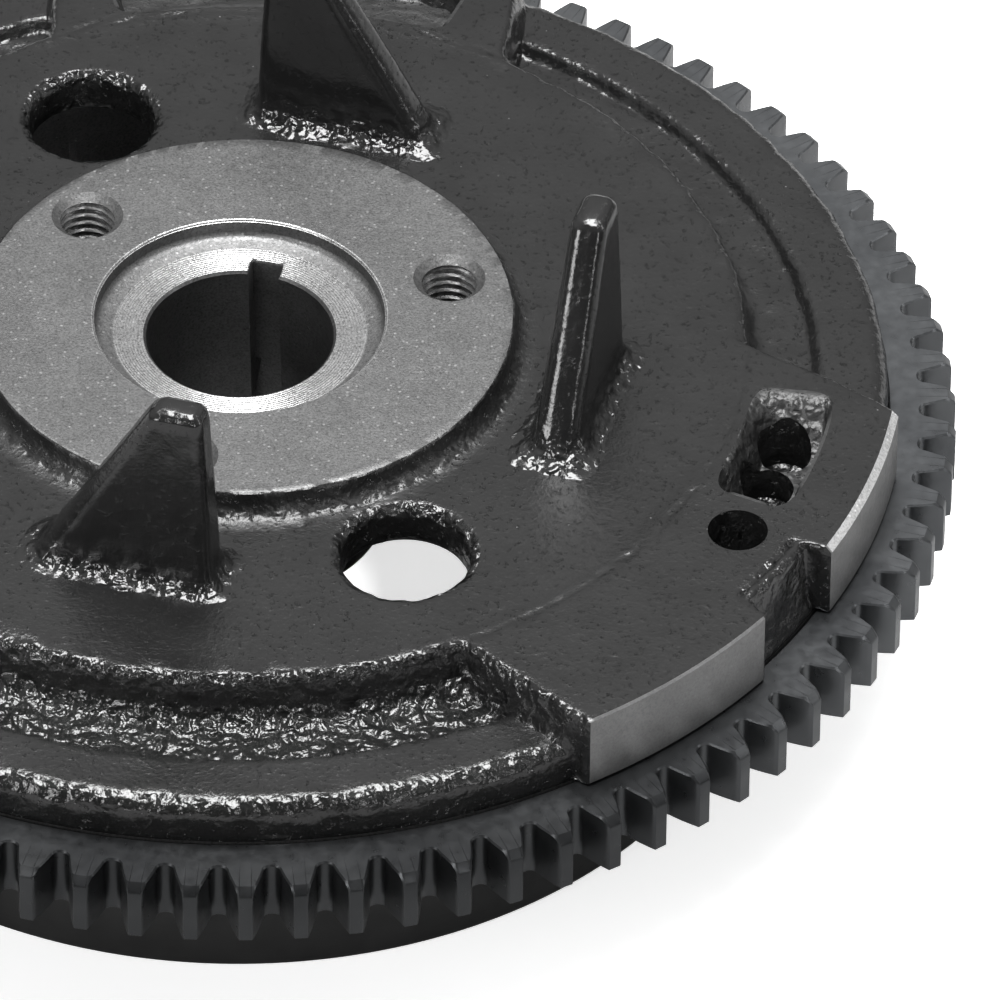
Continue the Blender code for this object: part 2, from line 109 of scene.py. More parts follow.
# %% A net of rings
class Net:
    """Rings of points joined by faces; every face carries a material number."""

    def __init__(self):
        self.points, self.faces, self.finish, self.count = [], [], [], 0

    def ring(self, xyz):
        """Adds points (n, 3) and returns their numbers."""
        self.points.append(np.asarray(xyz, float))
        numbers = np.arange(self.count, self.count + len(xyz))
        self.count += len(xyz)
        return numbers

    def add_faces(self, faces, finish):
        self.faces.append(np.asarray(faces))
        self.finish.append(np.broadcast_to(finish, len(faces)))

    def join(self, one, two, finish=0, keep=None):
        """Faces between rings: quads, or triangles where ring one is half as long."""
        if len(one) == len(two):
            faces = np.stack([one, two, np.roll(two, -1), np.roll(one, -1)], 1)
            if keep is not None:
                faces = faces[keep]
                finish = np.broadcast_to(finish, len(keep))[keep]
            self.add_faces(faces, finish)
            return
        even, odd = two[0::2], two[1::2]
        after, one_after = np.roll(even, -1), np.roll(one, -1)
        for corners in ((one, even, odd), (one, odd, one_after), (one_after, odd, after)):
            self.add_faces(np.stack(corners, 1), finish)

    def grow(self, last, xyz, finish):
        """Adds one more ring, joined to the last one, and returns its numbers."""
        ring = self.ring(xyz)
        self.join(last, ring, finish)
        return ring

    def stack(self, grid, around=False):
        """Adds rings, each joined to the next, and the last to the first if `around`."""
        rings = [self.ring(xyz) for xyz in grid]
        for one, two in zip(rings, rings[1:] + (rings[:1] if around else [])):
            self.join(one, two)
        return rings

    def close(self, ring, centre, finish=0):
        """A fan of triangles from a ring to one centre point."""
        pole = np.full(len(ring), self.ring([centre])[0])
        self.add_faces(np.stack([ring, pole, np.roll(ring, -1)], 1), finish)

    def solid(self, name, materials, crisp=38):
        """Makes the mesh object; faces are turned outwards by the sign of the volume."""
        points = np.concatenate(self.points)
        used = np.zeros(len(points), bool)
        for block in self.faces:
            used[block] = True
        number = np.cumsum(used) - 1
        points, self.faces = points[used], [number[block] for block in self.faces]
        mesh = bpy.data.meshes.new(name)
        faces = [face for block in self.faces for face in block.tolist()]
        finish = np.concatenate(self.finish).astype(np.int32)
        volume = sum(signed_volume(points, block) for block in self.faces)
        if volume < 0:
            faces = [face[::-1] for face in faces]
        mesh.from_pydata((points * MM).tolist(), [], faces)
        mesh.polygons.foreach_set("material_index", finish)
        for material in materials:
            mesh.materials.append(material)
        mesh.shade_smooth()
        mesh.set_sharp_from_angle(angle=math.radians(crisp))
        mesh.update()
        thing = bpy.data.objects.new(name, mesh)
        bpy.context.scene.collection.objects.link(thing)
        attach(thing, "root")
        triangles = sum(len(face) - 2 for face in faces)
        print(f"{name}: {len(points)} points, {triangles} triangles, {abs(volume) / 1000:.1f} cm3")
        return thing


def signed_volume(points, faces):
    """A sixth of the triple product of each triangle, summed."""
    total = 0.0
    for second in range(1, faces.shape[1] - 1):
        a, b, c = (points[faces[:, i]] for i in (0, second, second + 1))
        total += float(np.einsum("ij,ij->i", a, np.cross(b, c)).sum()) / 6
    return total


# %% [markdown]
# ## Soft steps and cast lumps
# A cast skin is never true: its flats wander by a few hundredths and its corners
# run.  Smooth noise on a lattice of random numbers, read at each point, is added
# along the surface.  The lattice is seeded, so each run gives the same casting.

# %% Noise and blending
LATTICE = 48


def soft_step(low, high, value):
    """0 below low, 1 above high, and 3t^2 - 2t^3 between them."""
    t = np.clip((value - low) / (high - low), 0, 1)
    return t * t * (3 - 2 * t)


def lumps(xyz, size, seed):
    """Noise from -1 to 1 with one lump about every `size` millimetres.

    The eight lattice numbers around a point are mixed by 3t^2 - 2t^3 along X, Y, Z.
    """
    table = np.random.RandomState(seed).uniform(-1, 1, (LATTICE,) * 3)
    spot = np.asarray(xyz) / size
    cell = np.floor(spot).astype(int)
    t = spot - cell
    t = t * t * (3 - 2 * t)
    total = 0.0
    for corner in np.ndindex(2, 2, 2):
        weight = np.prod(np.where(np.array(corner) == 1, t, 1 - t), axis=-1)
        index = tuple(np.moveaxis((cell + corner) % LATTICE, -1, 0))
        total = total + weight * table[index]
    return total


def cast_noise(xyz, size, seed):
    """Lumps, plus finer ones 2.7 times as small and 0.45 times as high."""
    return lumps(xyz, size, seed) + 0.45 * lumps(xyz, size / 2.7, seed + 1)


# %% [markdown]
# ## Profiles
# A turned or cast shape starts as a profile: points (radius, height) from the
# bore outwards over the top, down the rim and back under the web.  Short helpers
# give straight runs and quarter ellipses.

# %% Profile helpers
def run(start, end, count):
    """A straight run of points from start to end."""
    t = np.linspace(0, 1, count)[:, None]
    return np.array(start) * (1 - t) + np.array(end) * t


def bend(centre, radii, start, end, count):
    """Part of an ellipse: centre plus radii times (cos, sin) of angles in degrees."""
    angle = np.radians(np.linspace(start, end, count))
    return np.array(centre) + np.array(radii) * np.stack([np.cos(angle), np.sin(angle)], 1)


def polar(radius, degrees, height):
    """Points (n, 3) from radius, direction and height, each a number or an array."""
    angle = np.radians(degrees)
    return np.stack(np.broadcast_arrays(
        radius * np.cos(angle), radius * np.sin(angle), height), -1)


# %% [markdown]
# ## Stations round the casting
# All rings of the casting use the same directions, so they join without gaps.
# The directions crowd together at the ends of the pads, where the shape changes
# quickly.  The pad ends aren't radial: a station leans by a few degrees on its way
# out, and the lean fades to nothing halfway between two ends.

# %% Pads and stations
HUB_FACE, WEB_TOP, PAD_TOP, LEDGE, CHANNEL = 59.2, 55.3, 55.5, 49.3, 47.5
PAD_IN, PAD_OUT = 75.2, 101.1                    # radii between which an end leans
PADS = (                                          # directions at PAD_IN and PAD_OUT
    (-66.4, -60.7, -0.6, -10.1),
    (56.0, 63.0, 113.6, 106.4),
    (176.0 - 360, 183.0 - 360, 233.6 - 360, 226.4 - 360),
)
NOTCH = (-39.9, -29.5)                            # directions of the break in the near pad
KEYWAY = 75.0
END_WIDTH = 2.1                                   # degrees over which a pad end rises
NOTCH_SLOPE, NOTCH_WALL = 1.4, 0.7                # the same for the notch's two ends
SPACING = 0.74                                    # degrees from station to station
CROWDING, CROWD_WIDTH = 4.2, 1.6                  # more stations per degree at an end


def make_stations():
    """Directions whose spacing is the inverse of a density with a bump at each end."""
    ends = [end for pad in PADS for end in (pad[0], pad[2])] + list(NOTCH)
    fine = np.linspace(-180, 180, 14401)
    density = np.full(len(fine), 1 / SPACING)
    for end in ends + [end + turn for end in ends for turn in (-360, 360)]:
        density += CROWDING * np.exp(-((fine - end) / CROWD_WIDTH) ** 2)
    total = np.concatenate([[0], np.cumsum((density[1:] + density[:-1]) / 2 * np.diff(fine))])
    count = int(round(total[-1] / 2)) * 2
    return np.interp(np.arange(count) / count * total[-1], total, fine)


STATIONS = make_stations()
COARSE = STATIONS[0::2]


def leaning(radius):
    """Directions of all stations at a radius: straight lines between the pad ends."""
    share = np.clip((radius - PAD_IN) / (PAD_OUT - PAD_IN), 0, 1)
    knots = [(NOTCH[0] - 4, 0.0), (NOTCH[1] + 4, 0.0), (28.0, 0.0), (85.0, 0.0), (146.0, 0.0),
             (-155.0, 0.0), (-96.0, 0.0)]
    for inner_start, outer_start, inner_end, outer_end in PADS:
        knots += [(inner_start, outer_start - inner_start), (inner_end, outer_end - inner_end)]
    knots = np.array(sorted(knots))
    shift = np.interp(STATIONS, knots[:, 0], knots[:, 1], period=360)
    return STATIONS + share * shift


def pad_share(rise):
    """1 on a pad, 0 between pads, and rise(t) across the width of an end."""
    share = np.zeros(len(STATIONS))
    for start, _, end, _ in PADS:
        for turn in (-360, 0, 360):
            inside = np.minimum(STATIONS + turn - start, end - STATIONS - turn)
            share = np.maximum(share, rise(np.clip(inside / END_WIDTH, 0, 1)))
    return share


def round_top(t):
    """Steep at the foot and rounded at the top: 1 - (1 - t^1.15)^2.6."""
    return 1 - (1 - t ** 1.15) ** 2.6


TOP_SHARE = pad_share(round_top)
FACE_SHARE = pad_share(lambda t: soft_step(0.25, 0.62, t))
NOTCH_SHARE = (soft_step(NOTCH[0], NOTCH[0] + NOTCH_SLOPE, STATIONS)
               * soft_step(-NOTCH[1], NOTCH_WALL - NOTCH[1], -STATIONS))
print(len(STATIONS), "stations,", len(COARSE), "on the hub")

# %% [markdown]
# ## The rim's two profiles
# Between the pads the rim has a channel, a small step, a ledge and a round outer
# edge.  On a pad it is flat to a bevelled, machined face that overhangs the ring
# gear.  Both profiles get the same number of points, so that a point of the
# surface is a mix of the two, by how much of a pad there is at its station.

# %% Rim profiles
WEB_RADII = np.linspace(43.2, 75.2, 17)
HOLE_ROWS = 14                                    # rows that the web holes may cut
UNDER_RADII = np.linspace(43.2, 66.8, HOLE_ROWS)
SEAT = 98.6

hub_lip = np.array([(40.75, 59.2), (41.0, 59.0), (41.15, 58.3), (41.35, 57.3), (41.75, 56.4),
                    (42.35, 55.75)])
web = np.stack([WEB_RADII, np.full(len(WEB_RADII), WEB_TOP)], 1)
web[0, 1] += 0.09
channel_rim = [
    bend((75.5, 53.6), (1.8, 1.7), 90, 8, 8)[1:],
    run((77.5, 52.9), (77.9, 49.8), 5),
    bend((81.0, 50.2), (2.9, 2.7), 195, 270, 8),
    run((81.8, CHANNEL), (86.4, CHANNEL), 6),
    np.array([(86.9, 47.55), (87.3, 47.9), (87.65, 48.5), (88.1, 49.05), (88.8, LEDGE)]),
    run((89.6, LEDGE), (94.8, LEDGE), 7),
    bend((SEAT - 3, LEDGE - 3), (3, 3), 90, 4, 9),
    run((SEAT, 45.4), (SEAT, 43.2), 4),
    run((SEAT, 43.0), (SEAT, 42.85), 4),
]
pad_rim = [
    run((75.7, PAD_TOP - 0.1), (77.4, PAD_TOP), 7),
    run((77.7, PAD_TOP), (79.2, PAD_TOP), 5),
    run((79.5, PAD_TOP), (81.6, PAD_TOP), 8),
    run((82.2, PAD_TOP), (86.8, PAD_TOP), 6),
    run((87.4, PAD_TOP), (89.6, PAD_TOP), 5),
    run((90.2, PAD_TOP), (95.6, PAD_TOP), 7),
    run((96.2, PAD_TOP), (100.1, PAD_TOP), 9),
    np.array([(PAD_OUT, 54.5), (PAD_OUT, 53.5), (PAD_OUT, 49.0), (PAD_OUT, 45.0)]),
    np.array([(PAD_OUT, 42.95), (100.8, 42.62), (99.6, 42.6), (98.8, 42.6)]),
]
notch_rim = [
    *pad_rim[:5],
    run((90.2, PAD_TOP), (94.4, PAD_TOP), 7),
    bend((96.0, 53.9), (1.3, 1.6), 130, 15, 9),
    run((97.3, 53.0), (97.7, 45.5), 4),
    run((98.2, 44.2), (98.6, 42.9), 4),
]
below = np.array([(SEAT, 42.4), (SEAT, 33.0), (98.2, 32.5), (90.0, 32.5), (83.0, 32.5),
                  (76.9, 32.5), (76.7, 32.2), (76.7, 29.4), (76.3, 29.0), (71.9, 29.0),
                  (71.6, 29.3), (70.9, 39.5), (69.9, 44.4)])
cavity_bend = bend((66.8, 45.6), (2.9, 3.0), 12, 80, 6)
web_below = np.stack([UNDER_RADII[::-1], np.full(HOLE_ROWS, 48.6)], 1)

section_names = ["lip", "web", "edge", "wall", "fillet", "floor", "step", "ledge", "round",
                 "face", "under", "below", "bend", "roof"]
between = [hub_lip, web, *channel_rim, below, cavity_bend, web_below]
on_pad = [hub_lip, web, *pad_rim, below, cavity_bend, web_below]
in_notch = [hub_lip, web, *notch_rim, below, cavity_bend, web_below]
section = np.repeat(section_names, [len(part) for part in between])
first_row = {name: int(np.argmax(section == name)) for name in section_names}
print(len(section), "rows;", first_row)

# %% [markdown]
# ## The outer block of the casting
# Each row is a ring whose radius and height mix the three profiles.  Then the cast
# skin is roughened: a point moves along its normal by noise, most on the walls and
# bends of the rim, hardly at all on the flats, and never on a machined face.

# %% Outer block
CENTRE_SLIP = np.array([0.7, 0.4, 0.0])           # the cast lip isn't centred on the bore
KEEN_EDGE = 0.65                                  # how far a pad's sharp edge stands out
FILED_END = 30                                    # the near pad's edge is filed up to here
SEAM_RADIUS, SEAM_WIDTH = 76.8, 0.75              # a groove along the inner edge of a pad
PAD_SKIN, BROKEN_SKIN, END_SKIN, WANDER = 0.035, 0.42, 1.0, 0.12
SKIN = {"lip": 0.12, "web": 0.03, "edge": 0.24, "wall": 0.30, "fillet": 0.34, "floor": 0.26,
        "step": 0.16, "ledge": 0.07, "round": 0.20, "face": 0.16, "under": 0.03, "below": 0.0,
        "bend": 0.10, "roof": 0.05}


def grid_normals(grid):
    """Cross product of the differences along and across a grid that closes across."""
    along = np.gradient(grid, axis=0)
    across = (np.roll(grid, -1, 1) - np.roll(grid, 1, 1)) / 2
    normal = np.cross(across, along)
    return normal / np.maximum(np.linalg.norm(normal, axis=2, keepdims=True), 1e-9)


def rows_of(*names):
    """A column that is true on the rows of the named sections."""
    return np.isin(section, names)[:, None]


def pad_mix(one, two, three):
    """Points (rows, stations, 3) that mix the profiles, and the share of pad in each."""
    share = np.where(rows_of("round", "face", "under"), FACE_SHARE, TOP_SHARE)
    share = np.where(rows_of("round"), (FACE_SHARE + TOP_SHARE) / 2, share)
    padded = two[:, None] * (1 - NOTCH_SHARE[:, None]) + three[:, None] * NOTCH_SHARE[:, None]
    mixed = one[:, None] * (1 - share[..., None]) + padded * share[..., None]
    grid = np.array([polar(row[:, 0], leaning(radius), row[:, 1])
                     for row, radius in zip(mixed, two[:, 0])])
    slip = soft_step(47.0, 41.0, one[:, 0])[:, None] * rows_of("lip", "web")
    return grid + slip[..., None] * CENTRE_SLIP, share


def sharpen(grid):
    """Moves a pad's edge outwards and its face up, which leaves a thin bevel between."""
    filed = (soft_step(NOTCH[1] - 1, NOTCH[1], STATIONS)
             * soft_step(-FILED_END, 1 - FILED_END, -STATIONS))
    keen = (1 - filed) * FACE_SHARE * (1 - NOTCH_SHARE)
    face = first_row["face"]
    grid[face - 1] += KEEN_EDGE * keen[:, None] * polar(1.0, leaning(PAD_OUT), 0.0)
    grid[face, :, 2] += KEEN_EDGE * keen


def outer_block():
    """Points (rows, stations, 3) of everything outside the machined hub."""
    one, two, three = (np.concatenate(parts) for parts in (between, on_pad, in_notch))
    grid, share = pad_mix(one, two, three)
    sharpen(grid)
    outside, rim = rows_of("round", "face", "under"), rows_of(*section_names[2:9])
    # roughness: the section's own between pads, little on a pad, more at its ends
    rough = np.array([SKIN[name] for name in section])[:, None]
    on_flat = np.where(outside, 0.0, PAD_SKIN) * (1 - NOTCH_SHARE)
    broken = BROKEN_SKIN * rows_of("round", "face") * NOTCH_SHARE
    rough = rough * (1 - share) + (on_flat + broken) * share
    rough = rough + END_SKIN * share * (1 - share) * rim
    noise = cast_noise(grid, 2.4, 11)
    wander = lumps(grid, 9.0, 5) * WANDER * rim
    moved = grid + grid_normals(grid) * (rough * noise + wander * (1 - share))[..., None]
    seam = np.exp(-((two[:, 0] - SEAM_RADIUS) / SEAM_WIDTH) ** 2)[:, None] * share
    seam = seam * rows_of("edge", "wall")
    moved[..., 2] -= seam * (0.12 + 0.20 * cast_noise(grid, 1.6, 17))
    # the lip ripples in and out, most at its crest, which is its fourth row
    ripple = 0.10 * lumps(grid, 3.0, 8) + 0.05 * lumps(grid, 1.3, 9)
    crest = np.exp(-((np.arange(len(section)) - 3) / 3.0) ** 2)[:, None]
    radial = grid * np.array([1, 1, 0])
    radial /= np.linalg.norm(radial, axis=2, keepdims=True)
    moved += radial * (ripple * (rows_of("lip") * crest))[..., None]
    lip = section == "lip"
    moved[lip, :, 2] = np.minimum(moved[lip, :, 2], HUB_FACE)
    moved[0, :, 2] = HUB_FACE
    machined = outside * (FACE_SHARE > 0.98) * (NOTCH_SHARE < 0.02)
    return np.where(machined[..., None], grid, moved), machined


outer, machined = outer_block()
print("outer block", outer.shape[:2], "reaches", np.hypot(*outer[..., :2].T).max().round(2), "mm")

# %% [markdown]
# ## The machined hub
# The bore tapers and has a keyway.  Its ring of points is a circle, except that the
# points near the keyway run out along one side wall, across the floor and back, so
# both corners stay square.  The recess above it is turned: a flat ring, a gentle
# cone, a fillet, a short wall and a small chamfer up to the face.

# %% Hub rings
BORE_TOP, BORE_TAPER, RECESS_FLOOR = 14.25, 1 / 16, 55.5
HUB_BOTTOM, KEY_HALF, KEY_FLOOR = 20.6, 2.4, 16.9


def bore_ring(radius, half, floor):
    """A circle with a square slot: the slot's points share out wall, floor and wall."""
    turn = np.degrees(math.asin(half / radius))
    ring = polar(radius, COARSE, 0.0)
    slot = np.flatnonzero(np.abs(COARSE - KEYWAY) < turn)
    count = len(slot)
    corners = np.array([(math.sqrt(radius ** 2 - half ** 2), -half), (floor, -half),
                        (floor, half), (math.sqrt(radius ** 2 - half ** 2), half)])
    spread = np.interp(np.arange(count), [0, 3, count - 4, count - 1], [0, 1, 2, 3])
    out = np.interp(spread, range(4), corners[:, 0])
    side = np.interp(spread, range(4), corners[:, 1])
    ring[slot] = polar(1.0, KEYWAY, 0) * out[:, None] + polar(1.0, KEYWAY + 90, 0) * side[:, None]
    return ring


def lifted(ring, height):
    """The ring moved up by a height."""
    return ring + np.array([0.0, 0.0, height])


def hub_rings():
    """Rings of the hub from its lower end up the bore, over the recess and the face."""
    rings, finish = [], []
    for height in np.linspace(HUB_BOTTOM + 0.7, RECESS_FLOOR - 0.4, 6):
        grow = (RECESS_FLOOR - height) * BORE_TAPER
        rings.append(lifted(bore_ring(BORE_TOP + grow, KEY_HALF, KEY_FLOOR + grow), height))
    finish += ["bore"] * 6
    # the mouth is a little wider, and a flat ring leads from it to the circle of the cone
    mouth = lifted(bore_ring(BORE_TOP + 0.4, KEY_HALF + 0.2, KEY_FLOOR + 0.3), RECESS_FLOOR)
    rings.append(mouth)
    finish.append("turned")
    for share in (0.2, 0.4, 0.6, 0.8, 1.0):
        circle = polar(18.8, COARSE, RECESS_FLOOR + 0.15)
        rings.append(mouth * (1 - share) + circle * share)
    cone = run((19.4, RECESS_FLOOR + 0.28), (20.7, RECESS_FLOOR + 0.62), 3)
    slope = np.concatenate([cone, bend((20.75, 57.35), (1.25, 1.2), -75, 0, 6)[1:]])
    wall = np.array([(22.05, 58.2), (22.1, 58.85), (22.5, HUB_FACE)])
    face = run((23.8, HUB_FACE), (39.5, HUB_FACE), 10)
    for radius, height in np.concatenate([slope, wall, face]):
        rings.append(polar(radius, COARSE, height))
    # the top of the fillet and the short wall take the dark bore finish, as painted shade on the
    # recess wall
    finish += ["turned"] * 5 + ["face"] * (len(slope) - 2) + ["bore"] * 3 + ["turned"]
    finish += ["face"] * (len(face) + 1)
    return rings, finish, len(rings) - len(face)


def boss_rings(rows):
    """Rings under the hub, from the web inwards and down to the lower end."""
    flat = run((41.6, 48.6), (26.9, 48.55), rows)
    boss = np.concatenate([flat, bend((26.7, 46.8), (1.7, 1.7), 85, 180, 6)[1:],
                           [(24.4, 38.0), (22.7, 22.0), (22.4, 21.0), (21.9, HUB_BOTTOM),
                            (19.5, HUB_BOTTOM)]])
    grow = (RECESS_FLOOR - HUB_BOTTOM) * BORE_TAPER
    rings = [polar(radius, COARSE, height) for radius, height in boss]
    rings.append(lifted(bore_ring(BORE_TOP + grow + 0.6, KEY_HALF + 0.2, KEY_FLOOR + grow + 0.5),
                        HUB_BOTTOM))
    return rings


hub, hub_finish, face_row = hub_rings()
FACE_ROWS = len(hub) - face_row
boss = boss_rings(FACE_ROWS)
print(len(hub), "hub rings,", len(boss), "rings under it")

# %% [markdown]
# ## Holes without cutting
# A hole takes a window of faces out of the net.  The window's edge is a loop of
# points; new rings lead from that loop to the hole's mouth, over its edge and down
# its wall.  A through hole ends in the window of the same rows and stations below.
# Each mouth is a superellipse, |a|^n + |b|^n = 1, which is a circle for n = 2 and a
# rectangle with round corners for n = 5.

# %% Window patches
def window_loop(numbers, rows, columns):
    """Point numbers round a window: rows and columns are (first, last), both kept."""
    (top, low), (left, right) = rows, columns
    across, down = np.arange(left, right), np.arange(top, low)
    return np.concatenate([numbers[top, across], numbers[down, right],
                           numbers[low, across[::-1] + 1], numbers[down[::-1] + 1, left]])


def superellipse(local, half_a, half_b, power):
    """The point of |a/A|^n + |b/B|^n = 1 in the direction of each local point."""
    unit = local / np.array([half_a, half_b])
    size = (np.abs(unit[:, 0]) ** power + np.abs(unit[:, 1]) ** power) ** (1 / power)
    return local / size[:, None]


class Mouth:
    """A hole's own frame: its centre, its two half sizes and the power of its shape."""

    def __init__(self, radius, direction, half_a, half_b, power=2.0, bent=False):
        self.radius, self.direction, self.bent = radius, direction, bent
        self.half_a, self.half_b, self.power = half_a, half_b, power

    def local(self, xyz):
        """Outward and sideways distance of points; sideways along the arc if bent."""
        if self.bent:
            out = np.hypot(xyz[:, 0], xyz[:, 1]) - self.radius
            side = np.degrees(np.arctan2(xyz[:, 1], xyz[:, 0])) - self.direction
            return np.stack([out, np.radians(side) * self.radius], 1)
        offset = xyz - polar(self.radius, self.direction, 0.0)
        axes = np.stack([polar(1, self.direction, 0.0), polar(1, self.direction + 90, 0.0)])
        return offset @ axes.T

    def world(self, local, height):
        """The reverse of local: points from outward and sideways distance and a height."""
        if self.bent:
            side = np.degrees(local[:, 1] / self.radius) + self.direction
            return polar(self.radius + local[:, 0], side, height)
        flat = (polar(self.radius, self.direction, 0.0)
                + local[:, :1] * polar(1, self.direction, 0.0)
                + local[:, 1:] * polar(1, self.direction + 90, 0.0))
        return flat + np.array([0, 0, 1.0]) * np.reshape(height, (-1, 1))

    def ring(self, toward, grow, height):
        """The outline, grown by some millimetres, in the directions of given points."""
        outline = superellipse(self.local(toward), self.half_a + grow, self.half_b + grow,
                               self.power)
        return self.world(outline, height)


def approach(net, loop, xyz, target, steps, finish):
    """Rings from a window's loop towards the first ring of a mouth, eased in height."""
    last = loop
    for share in np.linspace(0, 1, steps + 2)[1:-1]:
        mix = xyz * (1 - share) + target * share
        mix[:, 2] = xyz[:, 2] + (target[:, 2] - xyz[:, 2]) * soft_step(0, 1, share)
        last = net.grow(last, mix, finish)
    return net.grow(last, target, finish)


def meet_below(net, last, xyz, loop_below, below_xyz):
    """Two rings from a lower mouth towards the lower window, and the faces that meet it."""
    for share in (0.35, 0.7):
        last = net.grow(last, xyz * (1 - share) + below_xyz * share, FINISH["cast"])
    net.join(last, loop_below, FINISH["cast"])


# %% [markdown]
# ## The holes' own shapes
# The web holes are as cast: the paint runs over a rounded mouth.  The tapped holes
# have a real thread, a ring of points whose radius follows a saw-tooth of
# height / pitch - direction / 360.  The pockets of the pads slope down from one end.

# %% Hole profiles
PITCH, THREAD_MINOR, THREAD_MAJOR = 1.5, 4.22, 5.02
THREAD_TOP, THREAD_END, WEB_UNDER = 58.1, 49.2, 48.6


def thread_ring(mouth, toward, height, depth_share):
    """Minor radius plus the thread's depth times a clipped triangle wave."""
    local = mouth.local(toward)
    direction = np.degrees(np.arctan2(local[:, 1], local[:, 0]))
    wave = (height / PITCH - direction / 360) % 1.0
    groove = np.clip(1.35 * (1 - np.abs(2 * wave - 1)) - 0.18, 0, 1) * depth_share
    radius = THREAD_MINOR + (THREAD_MAJOR - THREAD_MINOR) * groove
    unit = local / np.linalg.norm(local, axis=1, keepdims=True)
    return mouth.world(unit * radius[:, None], height)


def tapped_hole(net, mouth, loop, xyz, loop_below, below_xyz):
    """Chamfer, thread and the plain way out underneath."""
    last = approach(net, loop, xyz, mouth.ring(xyz, 0.0, HUB_FACE), 3, FINISH["face"])
    heights = np.arange(THREAD_TOP, THREAD_END, -PITCH / 8)
    depths = soft_step(THREAD_TOP, THREAD_TOP - 0.9, heights)
    rings = [thread_ring(mouth, xyz, height, depth) for height, depth in zip(heights, depths)]
    rings.append(mouth.ring(xyz, THREAD_MINOR - mouth.half_a, THREAD_END - 0.2))
    for number, points in enumerate(rings):
        last = net.grow(last, points, FINISH["thread" if number else "face"])
    way_out = mouth.ring(below_xyz, THREAD_MINOR + 0.5 - mouth.half_a, WEB_UNDER)
    last = net.grow(last, way_out, FINISH["thread"])
    meet_below(net, last, way_out, loop_below, below_xyz)


def web_hole(net, mouth, loop, xyz, loop_below, below_xyz):
    """A round cast mouth: a quarter ellipse in section, then a wall with a little draft."""
    edge = bend((1.9, WEB_TOP - 2.0), (2.1, 2.0), 88, 176, 9)
    wall = np.array([(-0.25, 52.2), (-0.35, 51.2), (-0.4, 50.2), (-0.35, 49.3)])
    last = approach(net, loop, xyz, mouth.ring(xyz, *edge[0]), 5, FINISH["cast"])
    for grow, height in np.concatenate([edge[1:], wall]):
        points = mouth.ring(xyz, grow, height)
        pull = 0.22 * cast_noise(points, 2.6, 31)
        local = mouth.local(points)
        last = net.grow(last, mouth.world(local * (1 + pull / 10)[:, None], points[:, 2]),
                        FINISH["cast"])
    # the lower edge turns outwards, and its directions pass over to the lower window's
    for grow, height in ((0.0, 48.85), (0.6, 48.62), (2.0, WEB_UNDER)):
        share = grow / 2.0
        points = mouth.ring(xyz, grow, height) * (1 - share)
        points += mouth.ring(below_xyz, grow, height) * share
        last = net.grow(last, points, FINISH["cast"])
    meet_below(net, last, points, loop_below, below_xyz)


def pocket(net, mouth, loop, xyz, depth_at, rings, seed):
    """A blind hollow: rings shrink to the centre, and a depth is read at each point."""
    last = approach(net, loop, xyz, mouth.ring(xyz, 0.5, PAD_TOP), 4, FINISH["cast"])
    local = mouth.local(xyz)
    for share in np.linspace(1, 0, rings, endpoint=False) ** 1.15:
        outline = superellipse(local, mouth.half_a * share, mouth.half_b * share,
                               2 + (mouth.power - 2) * share)
        points = mouth.world(outline, PAD_TOP)
        depth = depth_at(mouth.local(points))
        points[:, 2] -= depth
        points[:, 2] += 0.3 * cast_noise(points, 2.0, seed) * soft_step(0.0, 1.0, depth)
        last = net.grow(last, points, FINISH["pocket"])
    net.close(last, points.mean(0), FINISH["pocket"])


# %% [markdown]
# ## Finishes
# Gloss paint over a cast skin is nearly a black mirror: what shows is what it
# reflects.  So its material is dark and smooth, and the work is in the bump: an
# orange peel two millimetres wide and finer crinkles where the surface is steep and
# on the channel's floor, and small pits in the flats.  Machined faces are mottled
# grey metal, and turned faces carry rings about the axis.

# %% Material helpers
def new_material(name, colour, metallic=0.0, roughness=0.4, **sockets):
    """A Principled material; constants go straight on the shader's own sockets."""
    material = bpy.data.materials.new(name)
    material.use_nodes = True
    shader = material.node_tree.nodes["Principled BSDF"]
    shader.inputs["Base Color"].default_value = (*colour, 1)
    shader.inputs["Metallic"].default_value = metallic
    shader.inputs["Roughness"].default_value = roughness
    for socket, value in sockets.items():
        shader.inputs[socket.replace("_", " ")].default_value = value
    material.diffuse_color = (*colour, 1)
    return material


